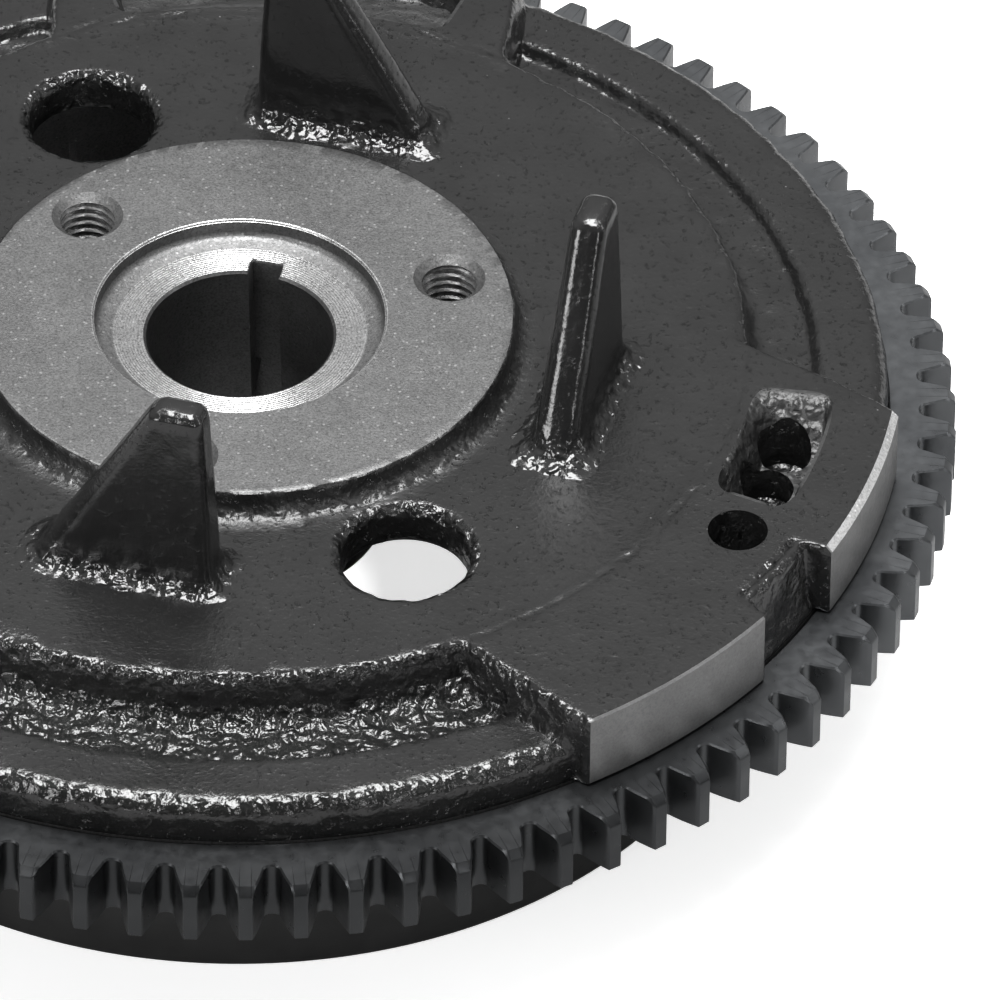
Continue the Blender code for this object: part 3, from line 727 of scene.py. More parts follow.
class Nodes:
    """Short words for the nodes of one material."""

    def __init__(self, material):
        self.tree = material.node_tree
        self.shader = self.tree.nodes["Principled BSDF"]
        self.object = self.add("ShaderNodeTexCoord").outputs["Object"]

    def add(self, kind, **settings):
        node = self.tree.nodes.new(kind)
        for setting, value in settings.items():
            setattr(node, setting, value)
        return node

    def link(self, value, socket):
        if hasattr(value, "is_output"):
            self.tree.links.new(value, socket)
        else:
            socket.default_value = value

    def math(self, operation, *values, clamp=False):
        node = self.add("ShaderNodeMath", operation=operation, use_clamp=clamp)
        for value, socket in zip(values, node.inputs):
            self.link(value, socket)
        return node.outputs[0]

    def noise(self, size, detail=2.0, roughness=0.5, vector=None, distortion=0.0):
        """Noise whose lumps are about `size` millimetres wide."""
        node = self.add("ShaderNodeTexNoise")
        self.link(vector or self.object, node.inputs["Vector"])
        node.inputs["Scale"].default_value = 1 / (size * MM)
        node.inputs["Detail"].default_value = detail
        node.inputs["Roughness"].default_value = roughness
        node.inputs["Distortion"].default_value = distortion
        return node.outputs["Fac"]

    def cells(self, size):
        """Distance to the nearest of scattered points about `size` millimetres apart."""
        node = self.add("ShaderNodeTexVoronoi")
        self.link(self.object, node.inputs["Vector"])
        node.inputs["Scale"].default_value = 1 / (size * MM)
        return node.outputs["Distance"]

    def times(self, *masks):
        """The product of several masks."""
        product = masks[0]
        for mask in masks[1:]:
            product = self.math("MULTIPLY", product, mask)
        return product

    def mix(self, factor, one, two, blend="MIX"):
        """A blend of two colours; each is a socket or a colour of four numbers."""
        node = self.add("ShaderNodeMix", data_type="RGBA", blend_type=blend)
        for value, socket in ((factor, "Factor"), (one, "A"), (two, "B")):
            self.link(value, node.inputs[socket])
        return node.outputs["Result"]

    def ramp(self, value, *stops):
        """Straight lines between (position, value) stops; a value is a grey or a colour."""
        node = self.add("ShaderNodeValToRGB")
        self.link(value, node.inputs["Fac"])
        elements = node.color_ramp.elements
        while len(elements) < len(stops):
            elements.new(0.5)
        for element, (place, number) in zip(elements, stops):
            element.position = place
            element.color = (*number, 1) if isinstance(number, tuple) else (*(number,) * 3, 1)
        return node.outputs["Color"]

    def bump(self, height, strength, depth, normal=None):
        node = self.add("ShaderNodeBump")
        self.link(height, node.inputs["Height"])
        self.link(strength, node.inputs["Strength"])
        node.inputs["Distance"].default_value = depth * MM
        if normal:
            self.link(normal, node.inputs["Normal"])
        return node.outputs["Normal"]

    def radius_height_depth(self):
        """Distance from the axis, height over the lower edge and place along Y, in mm."""
        split = self.add("ShaderNodeSeparateXYZ")
        self.link(self.object, split.inputs[0])
        across, along, up = split.outputs
        square = self.math("ADD", self.math("MULTIPLY", across, across),
                           self.math("MULTIPLY", along, along))
        return [self.math("DIVIDE", length, MM)
                for length in (self.math("SQRT", square), up, along)]

    def between(self, value, off, on, least=0.0):
        """A straight blend from `least` where value is `off` to 1 where it is `on`."""
        node = self.add("ShaderNodeMapRange")
        for socket, number in (("Value", value), ("From Min", off), ("From Max", on),
                               ("To Min", least), ("To Max", 1.0)):
            self.link(number, node.inputs[socket])
        return node.outputs["Result"]

    def steepness(self):
        """0 where the surface lies flat, towards 1 where it is upright."""
        geometry = self.add("ShaderNodeNewGeometry")
        split = self.add("ShaderNodeSeparateXYZ")
        self.link(geometry.outputs["Normal"], split.inputs[0])
        return self.math("SUBTRACT", 1.0, split.outputs["Z"], clamp=True)

    def finish(self, socket, value):
        self.link(value, self.shader.inputs[socket])


# %% Gloss black paint on the cast skin
def crinkled_ground(nodes, steep, radius, height, depth):
    """How crinkled the skin is: on steep ground and on the floor of the channel.

    Each mask is a blend over a few millimetres.  The crinkles fade near the hub, on
    the far part of the rim and beyond the ledge.
    """
    channel = nodes.times(nodes.between(radius, 77.4, 78.6), nodes.between(radius, 88.0, 86.8),
                          nodes.between(height, 53.0, 51.5),
                          nodes.between(depth, -10.0, -55.0, 0.22))
    near_rim = nodes.math("MAXIMUM", nodes.between(depth, 0.0, -50.0, 0.25),
                          nodes.between(radius, 73.0, 67.0))
    return nodes.times(nodes.math("MAXIMUM", steep, channel),
                       nodes.between(radius, 40.0, 48.0, 0.22), near_rim,
                       nodes.between(radius, 97.5, 94.0, 0.45))


def paint(name, wrinkle, roughness, grain=1.0, foot=0.0):
    """Near-black gloss paint over a cast skin.

    `wrinkle` scales the crinkles, `grain` scales the fine pits of the flats, and
    `foot` adds crinkles low down, where a horn leaves the web.
    """
    material = new_material(name, (0.007, 0.007, 0.0072), 0.0, roughness, Specular_IOR_Level=0.5)
    nodes = Nodes(material)
    place = radius, height, _ = nodes.radius_height_depth()
    steep = nodes.ramp(nodes.steepness(), (0.008, 0.0), (0.06, 1.0), (0.42, 1.0), (0.85, 0.30))
    # relief, from the finest to the coarsest: bumps, pits, orange peel and crinkles
    sand = nodes.noise(0.9, 3.0, 0.65)
    gentle = nodes.bump(sand, grain, 0.13)
    pitted = nodes.bump(nodes.ramp(sand, (0.61, 1.0), (0.67, 0.0)), grain, 0.18, gentle)
    low_down = nodes.times(nodes.between(height, 61.0, 56.5), foot)
    strength = nodes.times(crinkled_ground(nodes, steep, *place),
                           nodes.math("ADD", low_down, wrinkle))
    peeled = nodes.bump(nodes.noise(2.1, 1.0, 0.5, distortion=0.3), strength, 2.3, pitted)
    crinkle = nodes.noise(0.95, 1.0, 0.5, distortion=0.3)
    nodes.finish("Normal", nodes.bump(crinkle, nodes.times(strength, 0.6), 0.5, peeled))
    # gloss: duller on the flats, and duller still beside the hub
    duller = nodes.times(nodes.between(radius, 46.0, 42.5), 0.20)
    gloss = nodes.ramp(steep, (0.0, roughness + 0.09), (1.0, roughness))
    nodes.finish("Roughness", nodes.math("ADD", gloss, duller))
    # colour: nearly black, with some dust and a few grey specks
    dust = nodes.ramp(nodes.noise(9.0, 3.0), (0.35, 0.0065), (0.7, 0.0095))
    specks = nodes.ramp(nodes.cells(4.5), (0.018, 1.0), (0.036, 0.0))
    nodes.finish("Base Color", nodes.mix(nodes.times(specks, 0.4 * grain), dust,
                                         (0.22, 0.22, 0.22, 1)))
    return material


# %% Machined and turned iron
def machined_iron(name, light, dark, roughness, speckle, rings=0.0):
    """Grey iron mottled from dark to light, with glints of 2.6 times the light grey.

    `rings` is the pitch in mm of turning marks about the axis, or 0 for none.
    """
    material = new_material(name, (light,) * 3, 0.75, roughness)
    nodes = Nodes(material)
    mottle = nodes.ramp(nodes.noise(0.40, 3.0, 0.7), (0.33, dark), (0.56, light))
    stains = nodes.ramp(nodes.noise(7.0, 3.0, 0.6), (0.35, 0.85), (0.65, 1.0))
    stained = nodes.mix(1.0, mottle, stains, "MULTIPLY")
    glints = nodes.ramp(nodes.cells(1.3), (0.10, 1.0), (0.20, 0.0))
    glint_grey = min(1.0, 2.6 * light)
    nodes.finish("Base Color", nodes.mix(nodes.times(glints, 0.5 * speckle), stained,
                                         (*(glint_grey,) * 3, 1)))
    grain = nodes.bump(nodes.noise(0.35, 3.0, 0.7), speckle, 0.06)
    if rings:
        turns = nodes.times(nodes.radius_height_depth()[0], math.tau / rings)
        grain = nodes.bump(nodes.math("SINE", turns), 1.0, 0.05, grain)
    nodes.finish("Normal", grain)
    nodes.finish("Roughness", nodes.ramp(nodes.noise(1.1, 4.0, 0.65), (0.3, roughness - 0.08),
                                         (0.7, roughness + 0.12)))
    return material


HORN = paint("gloss black paint on the horns", 0.035, 0.13, 0.35, foot=0.5)
# near-black, matt iron for the drilled holes is painted shade inside them, not the colour of bare
# drilled iron
DRILLED_HOLE_SHADE = new_material("painted shade of the drilled holes", (0.006, 0.006, 0.006), 0.0, 0.7)
FINISHES = {
    "cast": paint("gloss black paint", 0.8, 0.12),
    "face": machined_iron("machined hub face", 0.135, 0.070, 0.42, 0.9),
    "turned": machined_iron("turned recess", 0.44, 0.17, 0.27, 0.5, rings=0.42),
    "thread": machined_iron("tapped thread", 0.22, 0.10, 0.38, 0.3),
    "bore": machined_iron("reamed bore", 0.10, 0.05, 0.34, 0.15),
    "pocket": paint("black paint in the pockets", 0.8, 0.40),
    "pad face": machined_iron("machined pad face", 0.175, 0.135, 0.44, 0.12),
    "pad edge": machined_iron("filed pad edge", 0.60, 0.34, 0.45, 1.0),
}
FINISH = {name: number for number, name in enumerate(FINISHES)}
print("finishes of the casting:", list(FINISH))

# %% [markdown]
# ## Putting the casting together
# The hub's rings come first, then the outer block row by row, then the rings under
# the hub, which lead back to the bore.  The faces inside a hole's window are left
# out and the hole's own rings close it.

# %% Casting
def nearest(values, target):
    """Number of the value that is closest to the target."""
    return int(np.argmin(np.abs(np.asarray(values) - target)))


# a hole is a mouth, and its window reaches some degrees and millimetres beyond it
TAPS = [Mouth(33.0, direction, 5.5, 5.5) for direction in (14.5, 134.5, 254.5 - 360)]
TAP_REACH = 12.5                                  # degrees to each side
WEB_HOLES = [Mouth(56.5, 113.7, 9.8, 9.8), Mouth(55.2, -63.8, 9.8, 9.8)]
WEB_REACH, WEB_REACH_OUT = 15.0, 13.1             # degrees to each side, mm outwards
POCKETS = (                                       # mouth, radii and directions of its window
    (Mouth(85.1, -18.2, 5.9, 12.6, 5.0, bent=True), (77.7, 93.4), (-28.6, -3.2)),
    (Mouth(84.2, 84.75, 6.1, 27.4, 7.0, bent=True), (76.4, 93.4), (60.6, 109.4)),
)


def casting():
    """The net of the whole casting, with its windows closed by the holes' rings."""
    net = Net()
    hub_numbers, outer_numbers, boss_numbers = (
        np.array([net.ring(ring) for ring in rings]) for rings in (hub, outer, boss))

    # windows of the tapped holes, between the recess and the edge of the face
    tap_rows = (1, FACE_ROWS - 1)
    tap_columns = [[nearest(COARSE, mouth.direction + turn) for turn in (-TAP_REACH, TAP_REACH)]
                   for mouth in TAPS]
    keep_face = np.ones((FACE_ROWS - 1, len(COARSE)), bool)
    for left, right in tap_columns:
        keep_face[1:, left:right] = False
    for row in range(len(hub) - 1):
        keep = keep_face[row - face_row] if row >= face_row else None
        net.join(hub_numbers[row], hub_numbers[row + 1], FINISH[hub_finish[row]], keep)
    net.join(hub_numbers[-1], outer_numbers[0], FINISH["face"])

    # windows in the outer block: the web holes, the balance pocket and the far pocket
    web_row, roof_row = first_row["web"], first_row["roof"]
    keep = np.ones((len(outer) - 1, len(STATIONS)), bool)
    web_windows, pocket_windows = [], []
    for mouth in WEB_HOLES:
        rows = (0, nearest(WEB_RADII[:HOLE_ROWS], mouth.radius + WEB_REACH_OUT))
        left, right = (nearest(STATIONS, mouth.direction + turn)
                       for turn in (-WEB_REACH, WEB_REACH))
        web_windows.append((rows, (left, right)))
        roof_end = roof_row + HOLE_ROWS - 1
        keep[web_row + rows[0]:web_row + rows[1], left:right] = False
        keep[roof_end - rows[1]:roof_end - rows[0], left:right] = False
    pad_radii = np.concatenate(on_pad)[:first_row["face"], 0]
    for _, radii, turns in POCKETS:
        rows = [nearest(pad_radii, radius) for radius in radii]
        columns = [nearest(STATIONS, turn) for turn in turns]
        pocket_windows.append((rows, columns))
        keep[slice(*rows), slice(*columns)] = False
    for row in range(len(outer) - 1):
        net.join(outer_numbers[row], outer_numbers[row + 1], outer_finish(row), keep[row])

    # under the hub, back to the first ring of the bore
    reversed_join(net, outer_numbers[-1], boss_numbers[0])
    for row in range(len(boss) - 1):
        cut = keep_face[::-1][row] if row < FACE_ROWS - 1 else None
        net.join(boss_numbers[row], boss_numbers[row + 1], FINISH["cast"], cut)
    net.join(boss_numbers[-1], hub_numbers[0], FINISH["bore"])

    # the holes themselves, each from its upper loop to its lower loop
    points = np.concatenate(net.points)
    face_block, face_below = hub_numbers[face_row:], boss_numbers[:FACE_ROWS][::-1]
    for mouth, columns in zip(TAPS, tap_columns):
        loop, below = (window_loop(block, tap_rows, columns) for block in (face_block, face_below))
        tapped_hole(net, mouth, loop, points[loop], below, points[below])
    web_block = outer_numbers[web_row:web_row + len(WEB_RADII)]
    roof_block = outer_numbers[roof_row:roof_row + HOLE_ROWS][::-1]
    for mouth, window in zip(WEB_HOLES, web_windows):
        loop, below = (window_loop(block, *window) for block in (web_block, roof_block))
        web_hole(net, mouth, loop, points[loop], below, points[below])
    for number, depth_at in enumerate((near_pocket_depth, far_pocket_depth)):
        loop = window_loop(outer_numbers, *pocket_windows[number])
        pocket(net, POCKETS[number][0], loop, points[loop], depth_at, (28, 16)[number],
               seed=41 + number)
    return net


def outer_finish(row):
    """Finish numbers of the faces between a row of the outer block and the next."""
    finish = np.full(len(STATIONS), FINISH["cast"])
    turned_cells = machined[row + 1] & np.roll(machined[row + 1], -1)
    if section[row] == "face" or (section[row] == "round" and section[row + 1] == "face"):
        finish[turned_cells] = FINISH["pad face"]
    if section[row] == "round" and section[row + 1] == "face":
        filed = (STATIONS > NOTCH[1]) & (STATIONS < FILED_END)
        finish[turned_cells & filed] = FINISH["pad edge"]
    if section[row] == "below":
        finish[:] = FINISH["bore"]
    return finish


def reversed_join(net, fine, coarse):
    """The join from a full ring to one with half as many points."""
    before = len(net.faces)
    net.join(coarse, fine, FINISH["cast"])
    net.faces[before:] = [block[:, ::-1] for block in net.faces[before:]]


def near_pocket_depth(local):
    """Slopes down from its far end and its inner side; upright at the other two."""
    out, side = local.T
    return 6.2 * (soft_step(0.0, 8.5, 12.6 - side) * soft_step(-0.6, 3.6, out + 5.9)
                  * soft_step(0.0, 0.8, 5.9 - out) * soft_step(0.0, 0.8, side + 12.6))


def far_pocket_depth(local):
    """A flat floor with steep sides all round."""
    out, side = np.abs(local).T
    return 4.8 * soft_step(0.0, 1.3, 6.1 - out) * soft_step(0.0, 1.5, 27.4 - side)


body = casting().solid("casting_body", FINISHES.values(), crisp=40)
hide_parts("flywheel_casting")

# %% [markdown]
# ## Drilled holes
# Weight was drilled out of the heavy side after casting.  These three holes are the
# only ones that cross an edge of a cast pocket, so they are cut: a turned plug with
# a conical tip is taken away from the casting.

# %% Balance drilling
DRILLED = (                     # radius and direction of the centre, hole radius, floor
    (87.0, -31.6, 4.5, 44.5),
    (84.9, -14.9, 4.1, 43.5),
    (84.4, -20.4, 4.1, 43.5),
)


def plug(net, radius, direction, size, floor, sides=56):
    """Rings of a drill: straight down to the shoulder, then a cone to its tip."""
    around = np.arange(sides) / sides * 360
    centre = polar(radius, direction, 0.0)
    tip = floor - 0.3 * size
    rings = [net.ring(polar(size, around, height) + centre) for height in (58.0, floor + 0.4)]
    net.close(rings[0][::-1], centre + [0, 0, 58.0])
    net.join(rings[0], rings[1])
    net.close(rings[1], centre + [0, 0, tip])


drills = Net()
for hole in DRILLED:
    plug(drills, *hole)
drill = drills.solid("drills", [DRILLED_HOLE_SHADE])
cut = body.modifiers.new("drilled", "BOOLEAN")
cut.operation, cut.solver, cut.object = "DIFFERENCE", "MANIFOLD", drill
bpy.context.view_layer.update()
graph = bpy.context.evaluated_depsgraph_get()
drilled_mesh = bpy.data.meshes.new_from_object(body.evaluated_get(graph))
body.modifiers.clear()
body.data = drilled_mesh
bpy.data.objects.remove(drill)
body.data.shade_smooth()
body.data.set_sharp_from_angle(angle=math.radians(40))
print("casting after drilling:", len(body.data.polygons), "faces")

# %% [markdown]
# ## The horns
# A horn is a plate set along the tangent.  One end stands nearly upright and the
# other slopes, so it narrows to a small round tip.  Its sections are rectangles with
# round corners whose sizes follow the height, and its foot spreads into the web.

# %% Horn surface
HORN_TURNS = (-17.5, 72.5, 162.5, 252.5)
HORN_TOP = 87.8
HORN_TABLE = np.array([
    # height, start and end along the tangent, inner and outer face, corner radius
    (WEB_TOP - 0.5, -18.6, 17.2, 45.2, 61.6, 4.6),
    (WEB_TOP + 0.0, -17.2, 15.8, 46.6, 60.2, 4.0),
    (WEB_TOP + 0.3, -16.2, 14.8, 47.6, 59.2, 3.4),
    (WEB_TOP + 0.8, -15.2, 14.0, 48.5, 58.3, 2.8),
    (WEB_TOP + 1.7, -14.2, 13.3, 49.3, 57.5, 2.4),
    (WEB_TOP + 3.4, -13.1, 12.8, 49.8, 57.1, 2.1),
    (WEB_TOP + 12.0, -8.1, 12.5, 50.1, 56.9, 2.1),
    (WEB_TOP + 22.0, -2.3, 12.0, 50.4, 56.6, 2.1),
    (HORN_TOP - 2.6, 2.2, 11.6, 50.6, 56.4, 2.1),
    (HORN_TOP - 1.2, 3.1, 11.4, 50.8, 56.2, 2.3),
    (HORN_TOP - 0.4, 3.9, 10.9, 51.4, 55.6, 2.0),
    (HORN_TOP, 4.9, 10.1, 52.2, 54.8, 1.2),
])


def spread_evenly(loops, count):
    """Closed loops (levels, n, 2) with `count` points at even distances along each.

    The straight parts get extra points by this, so that lumps show there too.
    """
    closed = np.concatenate([loops, loops[:, :1]], axis=1)
    gaps = np.linalg.norm(np.diff(closed, axis=1), axis=2)
    length = np.concatenate([np.zeros((len(loops), 1)), np.cumsum(gaps, 1)], 1)
    even = np.linspace(0, 1, count, endpoint=False)
    return np.array([np.stack([np.interp(even * row[-1], row, track) for track in loop.T], 1)
                     for row, loop in zip(length, closed)])


def horn(number, turn, around=96, levels=64):
    """Sections at many heights: each table column is followed by straight lines.

    A section is a rectangle whose four corners are quarter circles; the two on the
    sloping side are larger at the foot than the table's radius.
    """
    steps = np.linspace(0, 1, levels)
    heights = HORN_TABLE[:, 0]
    knots = (0.75 * np.linspace(0, 1, len(heights))
             + 0.25 * (heights - heights[0]) / np.ptp(heights))
    height, start, end, near, far, corner = (
        np.interp(steps, knots, column)[:, None] for column in HORN_TABLE.T)
    leading = np.minimum(1.6 + 2.1 * (1 - steps[:, None]), 0.48 * (far - near))
    trailing = 0.75 * corner
    quarter = np.radians(np.linspace(0, 90, around // 4))[None]
    points = []
    for index, (side, side_sign, out, out_sign, soft) in enumerate((
            (end, -1, far, -1, trailing), (start, 1, far, -1, leading),
            (start, 1, near, 1, leading), (end, -1, near, 1, trailing))):
        angle = quarter + index * math.pi / 2
        points.append(np.stack([side + side_sign * soft + soft * np.cos(angle),
                                out + out_sign * soft + soft * np.sin(angle)], -1))
    spread = spread_evenly(np.concatenate(points, axis=1), around)
    tangent, radial = polar(1.0, turn + 90, 0.0), polar(1.0, turn, 0.0)
    grid = spread[..., :1] * tangent + spread[..., 1:] * radial
    grid[..., 2] = height
    foot = soft_step(WEB_TOP + 9, WEB_TOP + 0.5, grid[..., 2])
    rough = 0.05 + 0.20 * foot
    grid = grid + grid_normals(grid) * (rough * cast_noise(grid, 2.6, 60 + number))[..., None]
    grid[..., 2] = np.minimum(grid[..., 2], HORN_TOP)
    net = Net()
    rings = net.stack(grid)
    net.close(rings[0][::-1], grid[0].mean(0))
    net.close(rings[-1], grid[-1].mean(0))
    return net.solid(f"horn_{number}", [HORN], crisp=60)


for number, turn in enumerate(HORN_TURNS, 1):
    piece = horn(number, turn)
    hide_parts("flywheel_casting")


# %% [markdown]
# ## The starter ring gear
# The gear has 84 involute teeth of module 2.54.  One tooth is worked out as half an
# outline and mirrored: the root arc, the involute flank and the tip.  The outline is
# repeated round the axis as an array, and rings of it are stacked: a small bevel
# below, a larger one above, and the tips' upper corners cut off at 45 degrees.

# %% Gear outline
TEETH, MODULE = 84, 2.54
PITCH_RADIUS = TEETH * MODULE / 2
TIP, ROOT = PITCH_RADIUS + MODULE, PITCH_RADIUS - 1.2 * MODULE
BASE = PITCH_RADIUS * math.cos(math.radians(20))
GAP_DIRECTION = -109.2                            # the middle of one gap
GEAR_LOW, GEAR_HIGH = gear_low[2], gear_high[2]


def half_tooth(radius):
    """Half the angle of a tooth: pi / 2N + inv(20 deg) - inv(acos(base / radius))."""
    def involute(angle):
        return np.tan(angle) - angle
    at_radius = np.arccos(np.clip(BASE / radius, -1, 1))
    return np.degrees(math.pi / (2 * TEETH) + involute(math.radians(20)) - involute(at_radius))


def gear_outline():
    """Radius and direction of every point of the outline, once round."""
    flank = np.linspace(ROOT + 1.0, TIP - 0.12, 8)
    flank_half = half_tooth(flank)
    pitch = 360 / TEETH
    # the root is half an ellipse: radius by cosine, direction by sine
    turn = np.radians([15, 35, 55, 75])
    foot = flank[0] - (flank[0] - ROOT) * np.cos(turn)
    foot_half = pitch / 2 - (pitch / 2 - flank_half[0]) * np.sin(turn)
    radius = np.concatenate([foot, flank, [TIP]])
    half = np.concatenate([foot_half, flank_half, [flank_half[-1] - 0.07]])
    radius = np.concatenate([radius, radius[::-1]])
    half = np.concatenate([-half, half[::-1]])
    centre = GAP_DIRECTION + (np.arange(TEETH) + 0.5) * pitch
    return np.tile(radius, TEETH), (centre[:, None] + half[None]).ravel()


def inset(radius, direction, amount):
    """The outline moved inwards along its normal by an amount."""
    flat = polar(radius, direction, 0.0)[:, :2]
    along = np.roll(flat, -1, 0) - np.roll(flat, 1, 0)
    normal = np.stack([along[:, 1], -along[:, 0]], 1)
    normal /= np.linalg.norm(normal, axis=1, keepdims=True)
    return flat - normal * amount


radius, direction = gear_outline()
print(len(radius), "points in the outline,", TEETH, "teeth, tip at", round(TIP, 2), "mm")

# %% Gear
TIP_CHAMFER, EDGE_BEVEL, LOWER_BEVEL = 1.25, 0.24, 0.12
GEAR_SEAT, SEAT_BEVEL = 98.9, 0.25
SHOULDER = TIP - TIP_CHAMFER                      # where the tips' 45 degree cut begins


def with_height(flat, height):
    """Flat points with a third column: one height, or a height for each."""
    return np.concatenate([flat, np.broadcast_to(height, (len(flat),))[:, None]], 1)


def upper_height(out):
    """Height of the top at a radius: level as far as the shoulder, then 45 degrees down."""
    return GEAR_HIGH - np.maximum(out - SHOULDER, 0)


def ring_gear(material):
    """Rings from the seat over the top, down the teeth and back below."""
    full = polar(radius, direction, 0.0)[:, :2]
    out = np.hypot(*full.T)
    top = upper_height(out)
    bevelled = inset(radius, direction, EDGE_BEVEL)
    bevel_out = np.hypot(*bevelled.T)
    clipped = bevelled * (np.minimum(bevel_out - 0.03, SHOULDER) / bevel_out)[:, None]

    def circle(seat, height):
        """The outline's directions at one radius."""
        return with_height(full * (seat / out)[:, None], height)

    net = Net()
    net.stack([
        *(circle(seat, GEAR_HIGH) for seat in (GEAR_SEAT + SEAT_BEVEL, 100.6, ROOT - 0.9)),
        with_height(clipped * (1 - 0.3 / bevel_out)[:, None], GEAR_HIGH),
        with_height(clipped, GEAR_HIGH),
        with_height(bevelled, upper_height(bevel_out)),
        with_height(full, top - EDGE_BEVEL - 0.02),
        with_height(full, top - 0.45 * (top - GEAR_LOW)),
        with_height(full, GEAR_LOW + 0.15),
        with_height(inset(radius, direction, LOWER_BEVEL), GEAR_LOW),
        *(circle(seat, GEAR_LOW) for seat in (ROOT - 0.9, 99.2)),
        circle(GEAR_SEAT, GEAR_LOW + SEAT_BEVEL),
        circle(GEAR_SEAT, GEAR_HIGH - SEAT_BEVEL)], around=True)
    return net.solid("ring_gear_skin", [material], crisp=30)


# %% Gear steel
def gear_steel():
    """Dark blue-grey steel: mottled, slightly uneven and oily, and darkened towards -Y by painted
    shade.
    """
    material = new_material("gear steel", (0.12, 0.13, 0.14), 0.85, 0.38)
    nodes = Nodes(material)
    tint = nodes.ramp(nodes.noise(14.0, 3.0, 0.5), (0.3, (0.068, 0.071, 0.075)),
                      (0.7, (0.106, 0.110, 0.114)))
    # painted shade: the colour darkens towards -Y, standing for the rim's shade and its dark wall
    # mirrored in the near part of the gear
    painted_shade_near_side = nodes.between(nodes.radius_height_depth()[2], -98.0, -45.0, 0.34)
    nodes.finish("Base Color", nodes.mix(painted_shade_near_side, (0, 0, 0, 1), tint))
    nodes.finish("Roughness", nodes.ramp(nodes.noise(2.0, 4.0, 0.6), (0.3, 0.26), (0.7, 0.40)))
    fine = nodes.bump(nodes.noise(0.45, 3.0, 0.7), 0.22, 0.03)
    nodes.finish("Normal", nodes.bump(nodes.noise(3.5, 2.0), 0.15, 0.06, fine))
    return material


gear = ring_gear(gear_steel())
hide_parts("starter_ring_gear")

# %% [markdown]
# ## The magnet ring
# A turned ring carries the magnets under the rim.  It is smoother than the casting,
# with a dull black finish and the fine steps of the lathe.  Its flange is hidden
# above, where six screws hold it.

# %% Turned pieces
def turned(name, profile, materials, count=240, crisp=30):
    """A closed profile of (radius, height) carried once round the axis."""
    net = Net()
    directions = np.arange(count) / count * 360
    net.stack([polar(radius, directions, height) for radius, height in profile], around=True)
    return net.solid(name, materials, crisp)


def ring_steel():
    """Blackened steel, turned: fine level marks in the bump and in the gloss."""
    material = new_material("blackened ring steel", (0.020, 0.020, 0.021), 0.35, 0.40)
    nodes = Nodes(material)
    split = nodes.add("ShaderNodeSeparateXYZ")
    nodes.link(nodes.object, split.inputs[0])
    marks = nodes.noise(0.35, 2.0, 0.6, vector=stretched(nodes, split.outputs["Z"]))
    nodes.finish("Normal", nodes.bump(marks, 0.30, 0.03))
    nodes.finish("Base Color", nodes.ramp(nodes.noise(6.0, 3.0), (0.3, 0.017), (0.7, 0.026)))
    nodes.finish("Roughness", nodes.ramp(marks, (0.3, 0.34), (0.7, 0.48)))
    return material


def stretched(nodes, height):
    """A vector of the height alone, so that noise becomes level rings."""
    join = nodes.add("ShaderNodeCombineXYZ")
    nodes.link(height, join.inputs["Z"])
    return join.outputs[0]


SHELL_OUT, SHELL_IN, FLANGE, FLANGE_TOP = 80.8, 77.0, 93.0, RING_TOP
under = FLANGE_TOP - 3.2
shell_profile = np.concatenate([
    [(SHELL_IN, FLANGE_TOP), (FLANGE - 0.5, FLANGE_TOP), (FLANGE, FLANGE_TOP - 0.5),
     (FLANGE, under + 0.5), (FLANGE - 0.5, under), (SHELL_OUT + 1.0, under)],
    bend((SHELL_OUT + 0.8, under - 0.8), (0.8, 0.8), 95, 180, 5)[1:],
    run((SHELL_OUT, under - 2.0), (SHELL_OUT, 1.0), 8),
    bend((SHELL_OUT - 0.8, 0.8), (0.8, 0.8), 0, -90, 5)[1:],
    [(SHELL_IN + 0.5, 0.0), (SHELL_IN, 0.5)]])
shell = turned("magnet_ring_skin", shell_profile, [ring_steel()])
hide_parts("magnet_ring")

# %% Finishes of the pieces underneath
def ferrite():
    """Matt charcoal, mottled and a little rough, as sintered."""
    material = new_material("ferrite", (0.055, 0.053, 0.055), 0.0, 0.55)
    nodes = Nodes(material)
    nodes.finish("Base Color", nodes.ramp(nodes.noise(1.2, 4.0, 0.7), (0.3, 0.035), (0.7, 0.075)))
    nodes.finish("Normal", nodes.bump(nodes.noise(0.5, 3.0), 0.35, 0.05))
    return material


def nylon():
    """Moulded black nylon with a soft gloss."""
    material = new_material("black nylon", (0.022, 0.022, 0.024), 0.0, 0.5)
    nodes = Nodes(material)
    nodes.finish("Roughness", nodes.ramp(nodes.noise(3.0, 3.0), (0.3, 0.42), (0.7, 0.58)))
    nodes.finish("Normal", nodes.bump(nodes.noise(0.4, 2.0), 0.20, 0.03))
    return material


def zinc():
    """Bright zinc plate, slightly cloudy."""
    material = new_material("zinc plate", (0.55, 0.56, 0.54), 1.0, 0.34)
    nodes = Nodes(material)
    nodes.finish("Base Color", nodes.ramp(nodes.noise(2.0, 3.0), (0.3, (0.48, 0.48, 0.45)),
                                          (0.7, (0.62, 0.63, 0.62))))
    nodes.finish("Normal", nodes.bump(nodes.noise(0.4, 3.0), 0.20, 0.03))
    return material


def wear(name, material):
    """Gives a CAD node a finish, on the slots of its object."""
    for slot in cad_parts[name].material_slots:
        slot.material = material


FERRITE, ZINC = ferrite(), zinc()
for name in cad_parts:
    if name.startswith("magnet_") and name[-2:].isdigit():
        wear(name, FERRITE)
    elif name.startswith("ring_screw"):
        wear(name, ZINC)
wear("magnet_cage", nylon())

# %% [markdown]
# ## Floor and light
# A pale floor and a pale room give the paint something to mirror: its flats look
# grey because they reflect the bright room behind.  Towards the camera the room is
# darker, so upright faces go black, and a soft box overhead lights the rounded edges.

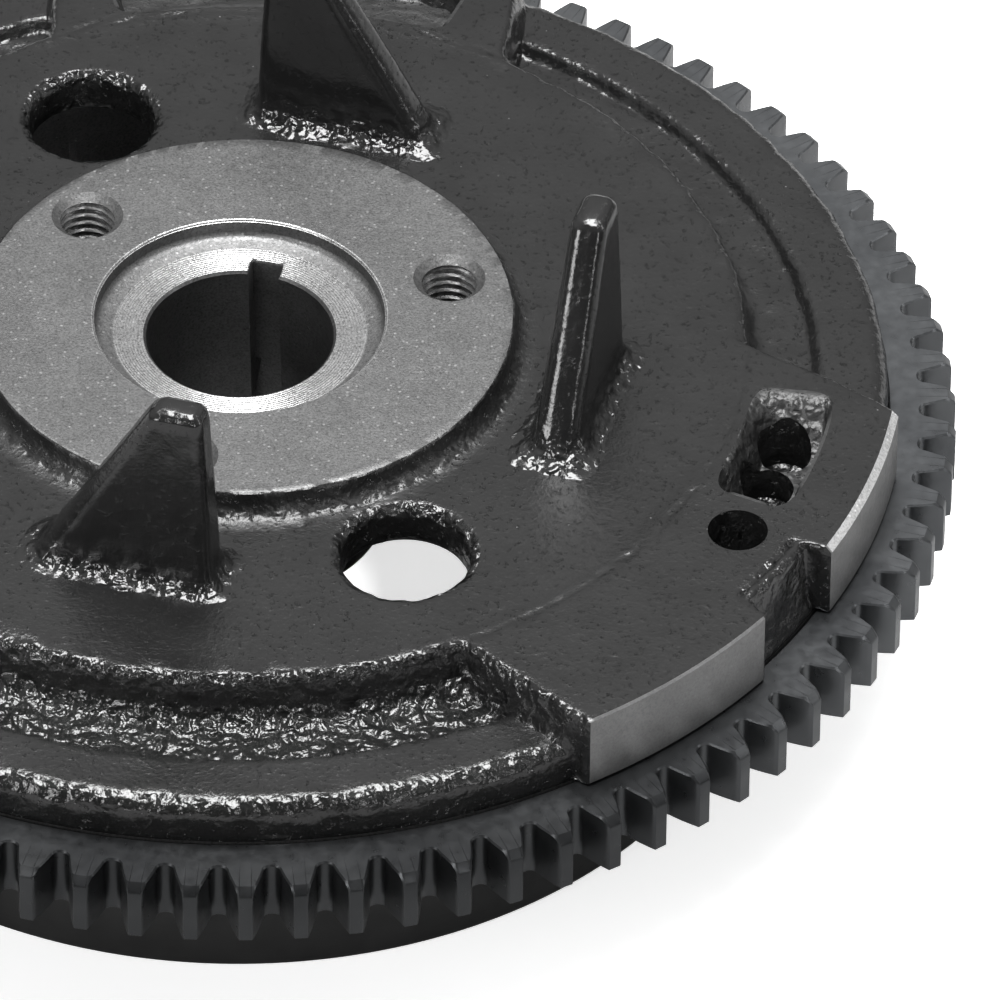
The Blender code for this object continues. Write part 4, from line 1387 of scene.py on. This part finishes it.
# %% Floor
def pale_floor():
    """A pale matt floor: light shadows for the camera, and a dim picture in the gloss."""
    material = new_material("pale floor", (0.93, 0.93, 0.93), 0.0, 0.7,
                            Emission_Color=(1, 1, 1, 1))
    nodes = Nodes(material)
    path = nodes.add("ShaderNodeLightPath")
    nodes.finish("Emission Strength", nodes.math("MULTIPLY", path.outputs["Is Camera Ray"], 0.62))
    nodes.finish("Base Color", nodes.ramp(path.outputs["Is Glossy Ray"], (0.0, 0.93), (1.0, 0.34)))
    return material


def floor_plane(half=3.0, gap=0.0002):
    """A square of twice `half` metres, just below the flywheel."""
    mesh = bpy.data.meshes.new("floor")
    mesh.from_pydata([(-half, -half, 0), (half, -half, 0), (half, half, 0), (-half, half, 0)],
                     [], [(0, 1, 2, 3)])
    thing = bpy.data.objects.new("floor", mesh)
    mesh.materials.append(pale_floor())
    bpy.context.scene.collection.objects.link(thing)
    thing.location.z = float(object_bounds()[0][2]) - gap


floor_plane()


# %% Room and lamps
def room(limits):
    """A world whose strength is a blend along Y times a blend along Z.

    Each axis has its two places, then the strength at each.
    """
    world = bpy.data.worlds.new("room")
    world.use_nodes = True
    bpy.context.scene.world = world
    nodes, links = world.node_tree.nodes, world.node_tree.links
    split = nodes.new("ShaderNodeSeparateXYZ")
    links.new(nodes.new("ShaderNodeTexCoord").outputs["Generated"], split.inputs[0])
    strength = nodes.new("ShaderNodeMath")
    strength.operation = "MULTIPLY"
    for (axis, numbers), socket in zip(limits.items(), strength.inputs):
        ramp = nodes.new("ShaderNodeMapRange")
        for name, number in zip(("From Min", "From Max", "To Min", "To Max"), numbers):
            ramp.inputs[name].default_value = number
        links.new(split.outputs[axis], ramp.inputs["Value"])
        links.new(ramp.outputs["Result"], socket)
    background = nodes["Background"]
    background.inputs["Color"].default_value = (1, 1, 1, 1)
    links.new(strength.outputs[0], background.inputs["Strength"])


def soft_box(name, place, toward, width, height, watts):
    """A rectangular lamp whose face looks from its place towards a height on the axis."""
    lamp = bpy.data.lights.new(name, "AREA")
    lamp.shape, lamp.size, lamp.size_y, lamp.energy = "RECTANGLE", width, height, watts
    thing = bpy.data.objects.new(name, lamp)
    back = np.array(place) - np.array((0.0, 0.0, toward))
    back /= np.linalg.norm(back)
    side = np.cross((0.0, 1.0, 0.0) if abs(back[2]) > 0.9 else (0.0, 0.0, 1.0), back)
    side /= np.linalg.norm(side)
    turn = Matrix(np.stack([side, np.cross(back, side), back], 1).tolist()).to_4x4()
    turn.translation = place
    thing.matrix_world = turn
    bpy.context.scene.collection.objects.link(thing)


LAMPS = (     # name, place, height it looks at, width and height in metres, watts
    ("overhead", (0.0, 0.0, 1.2), 0.04, 0.6, 0.8, 34),
    ("left front", (-0.95, -0.85, 0.55), 0.05, 0.5, 0.5, 9),
    ("right front", (0.50, -0.95, 0.50), 0.05, 0.12, 0.5, 1.6),
    ("right strip", (1.1, -0.2, 0.60), 0.05, 0.15, 0.9, 2.0),
)
room({"Y": (-0.75, 0.35, 0.09, 0.70), "Z": (0.1, 1.0, 0.30, 1.45)})
for lamp in LAMPS:
    soft_box(*lamp)
bpy.context.scene.view_settings.view_transform = "Standard"
bpy.context.scene.view_settings.look = "None"
print(len(LAMPS), "lamps")
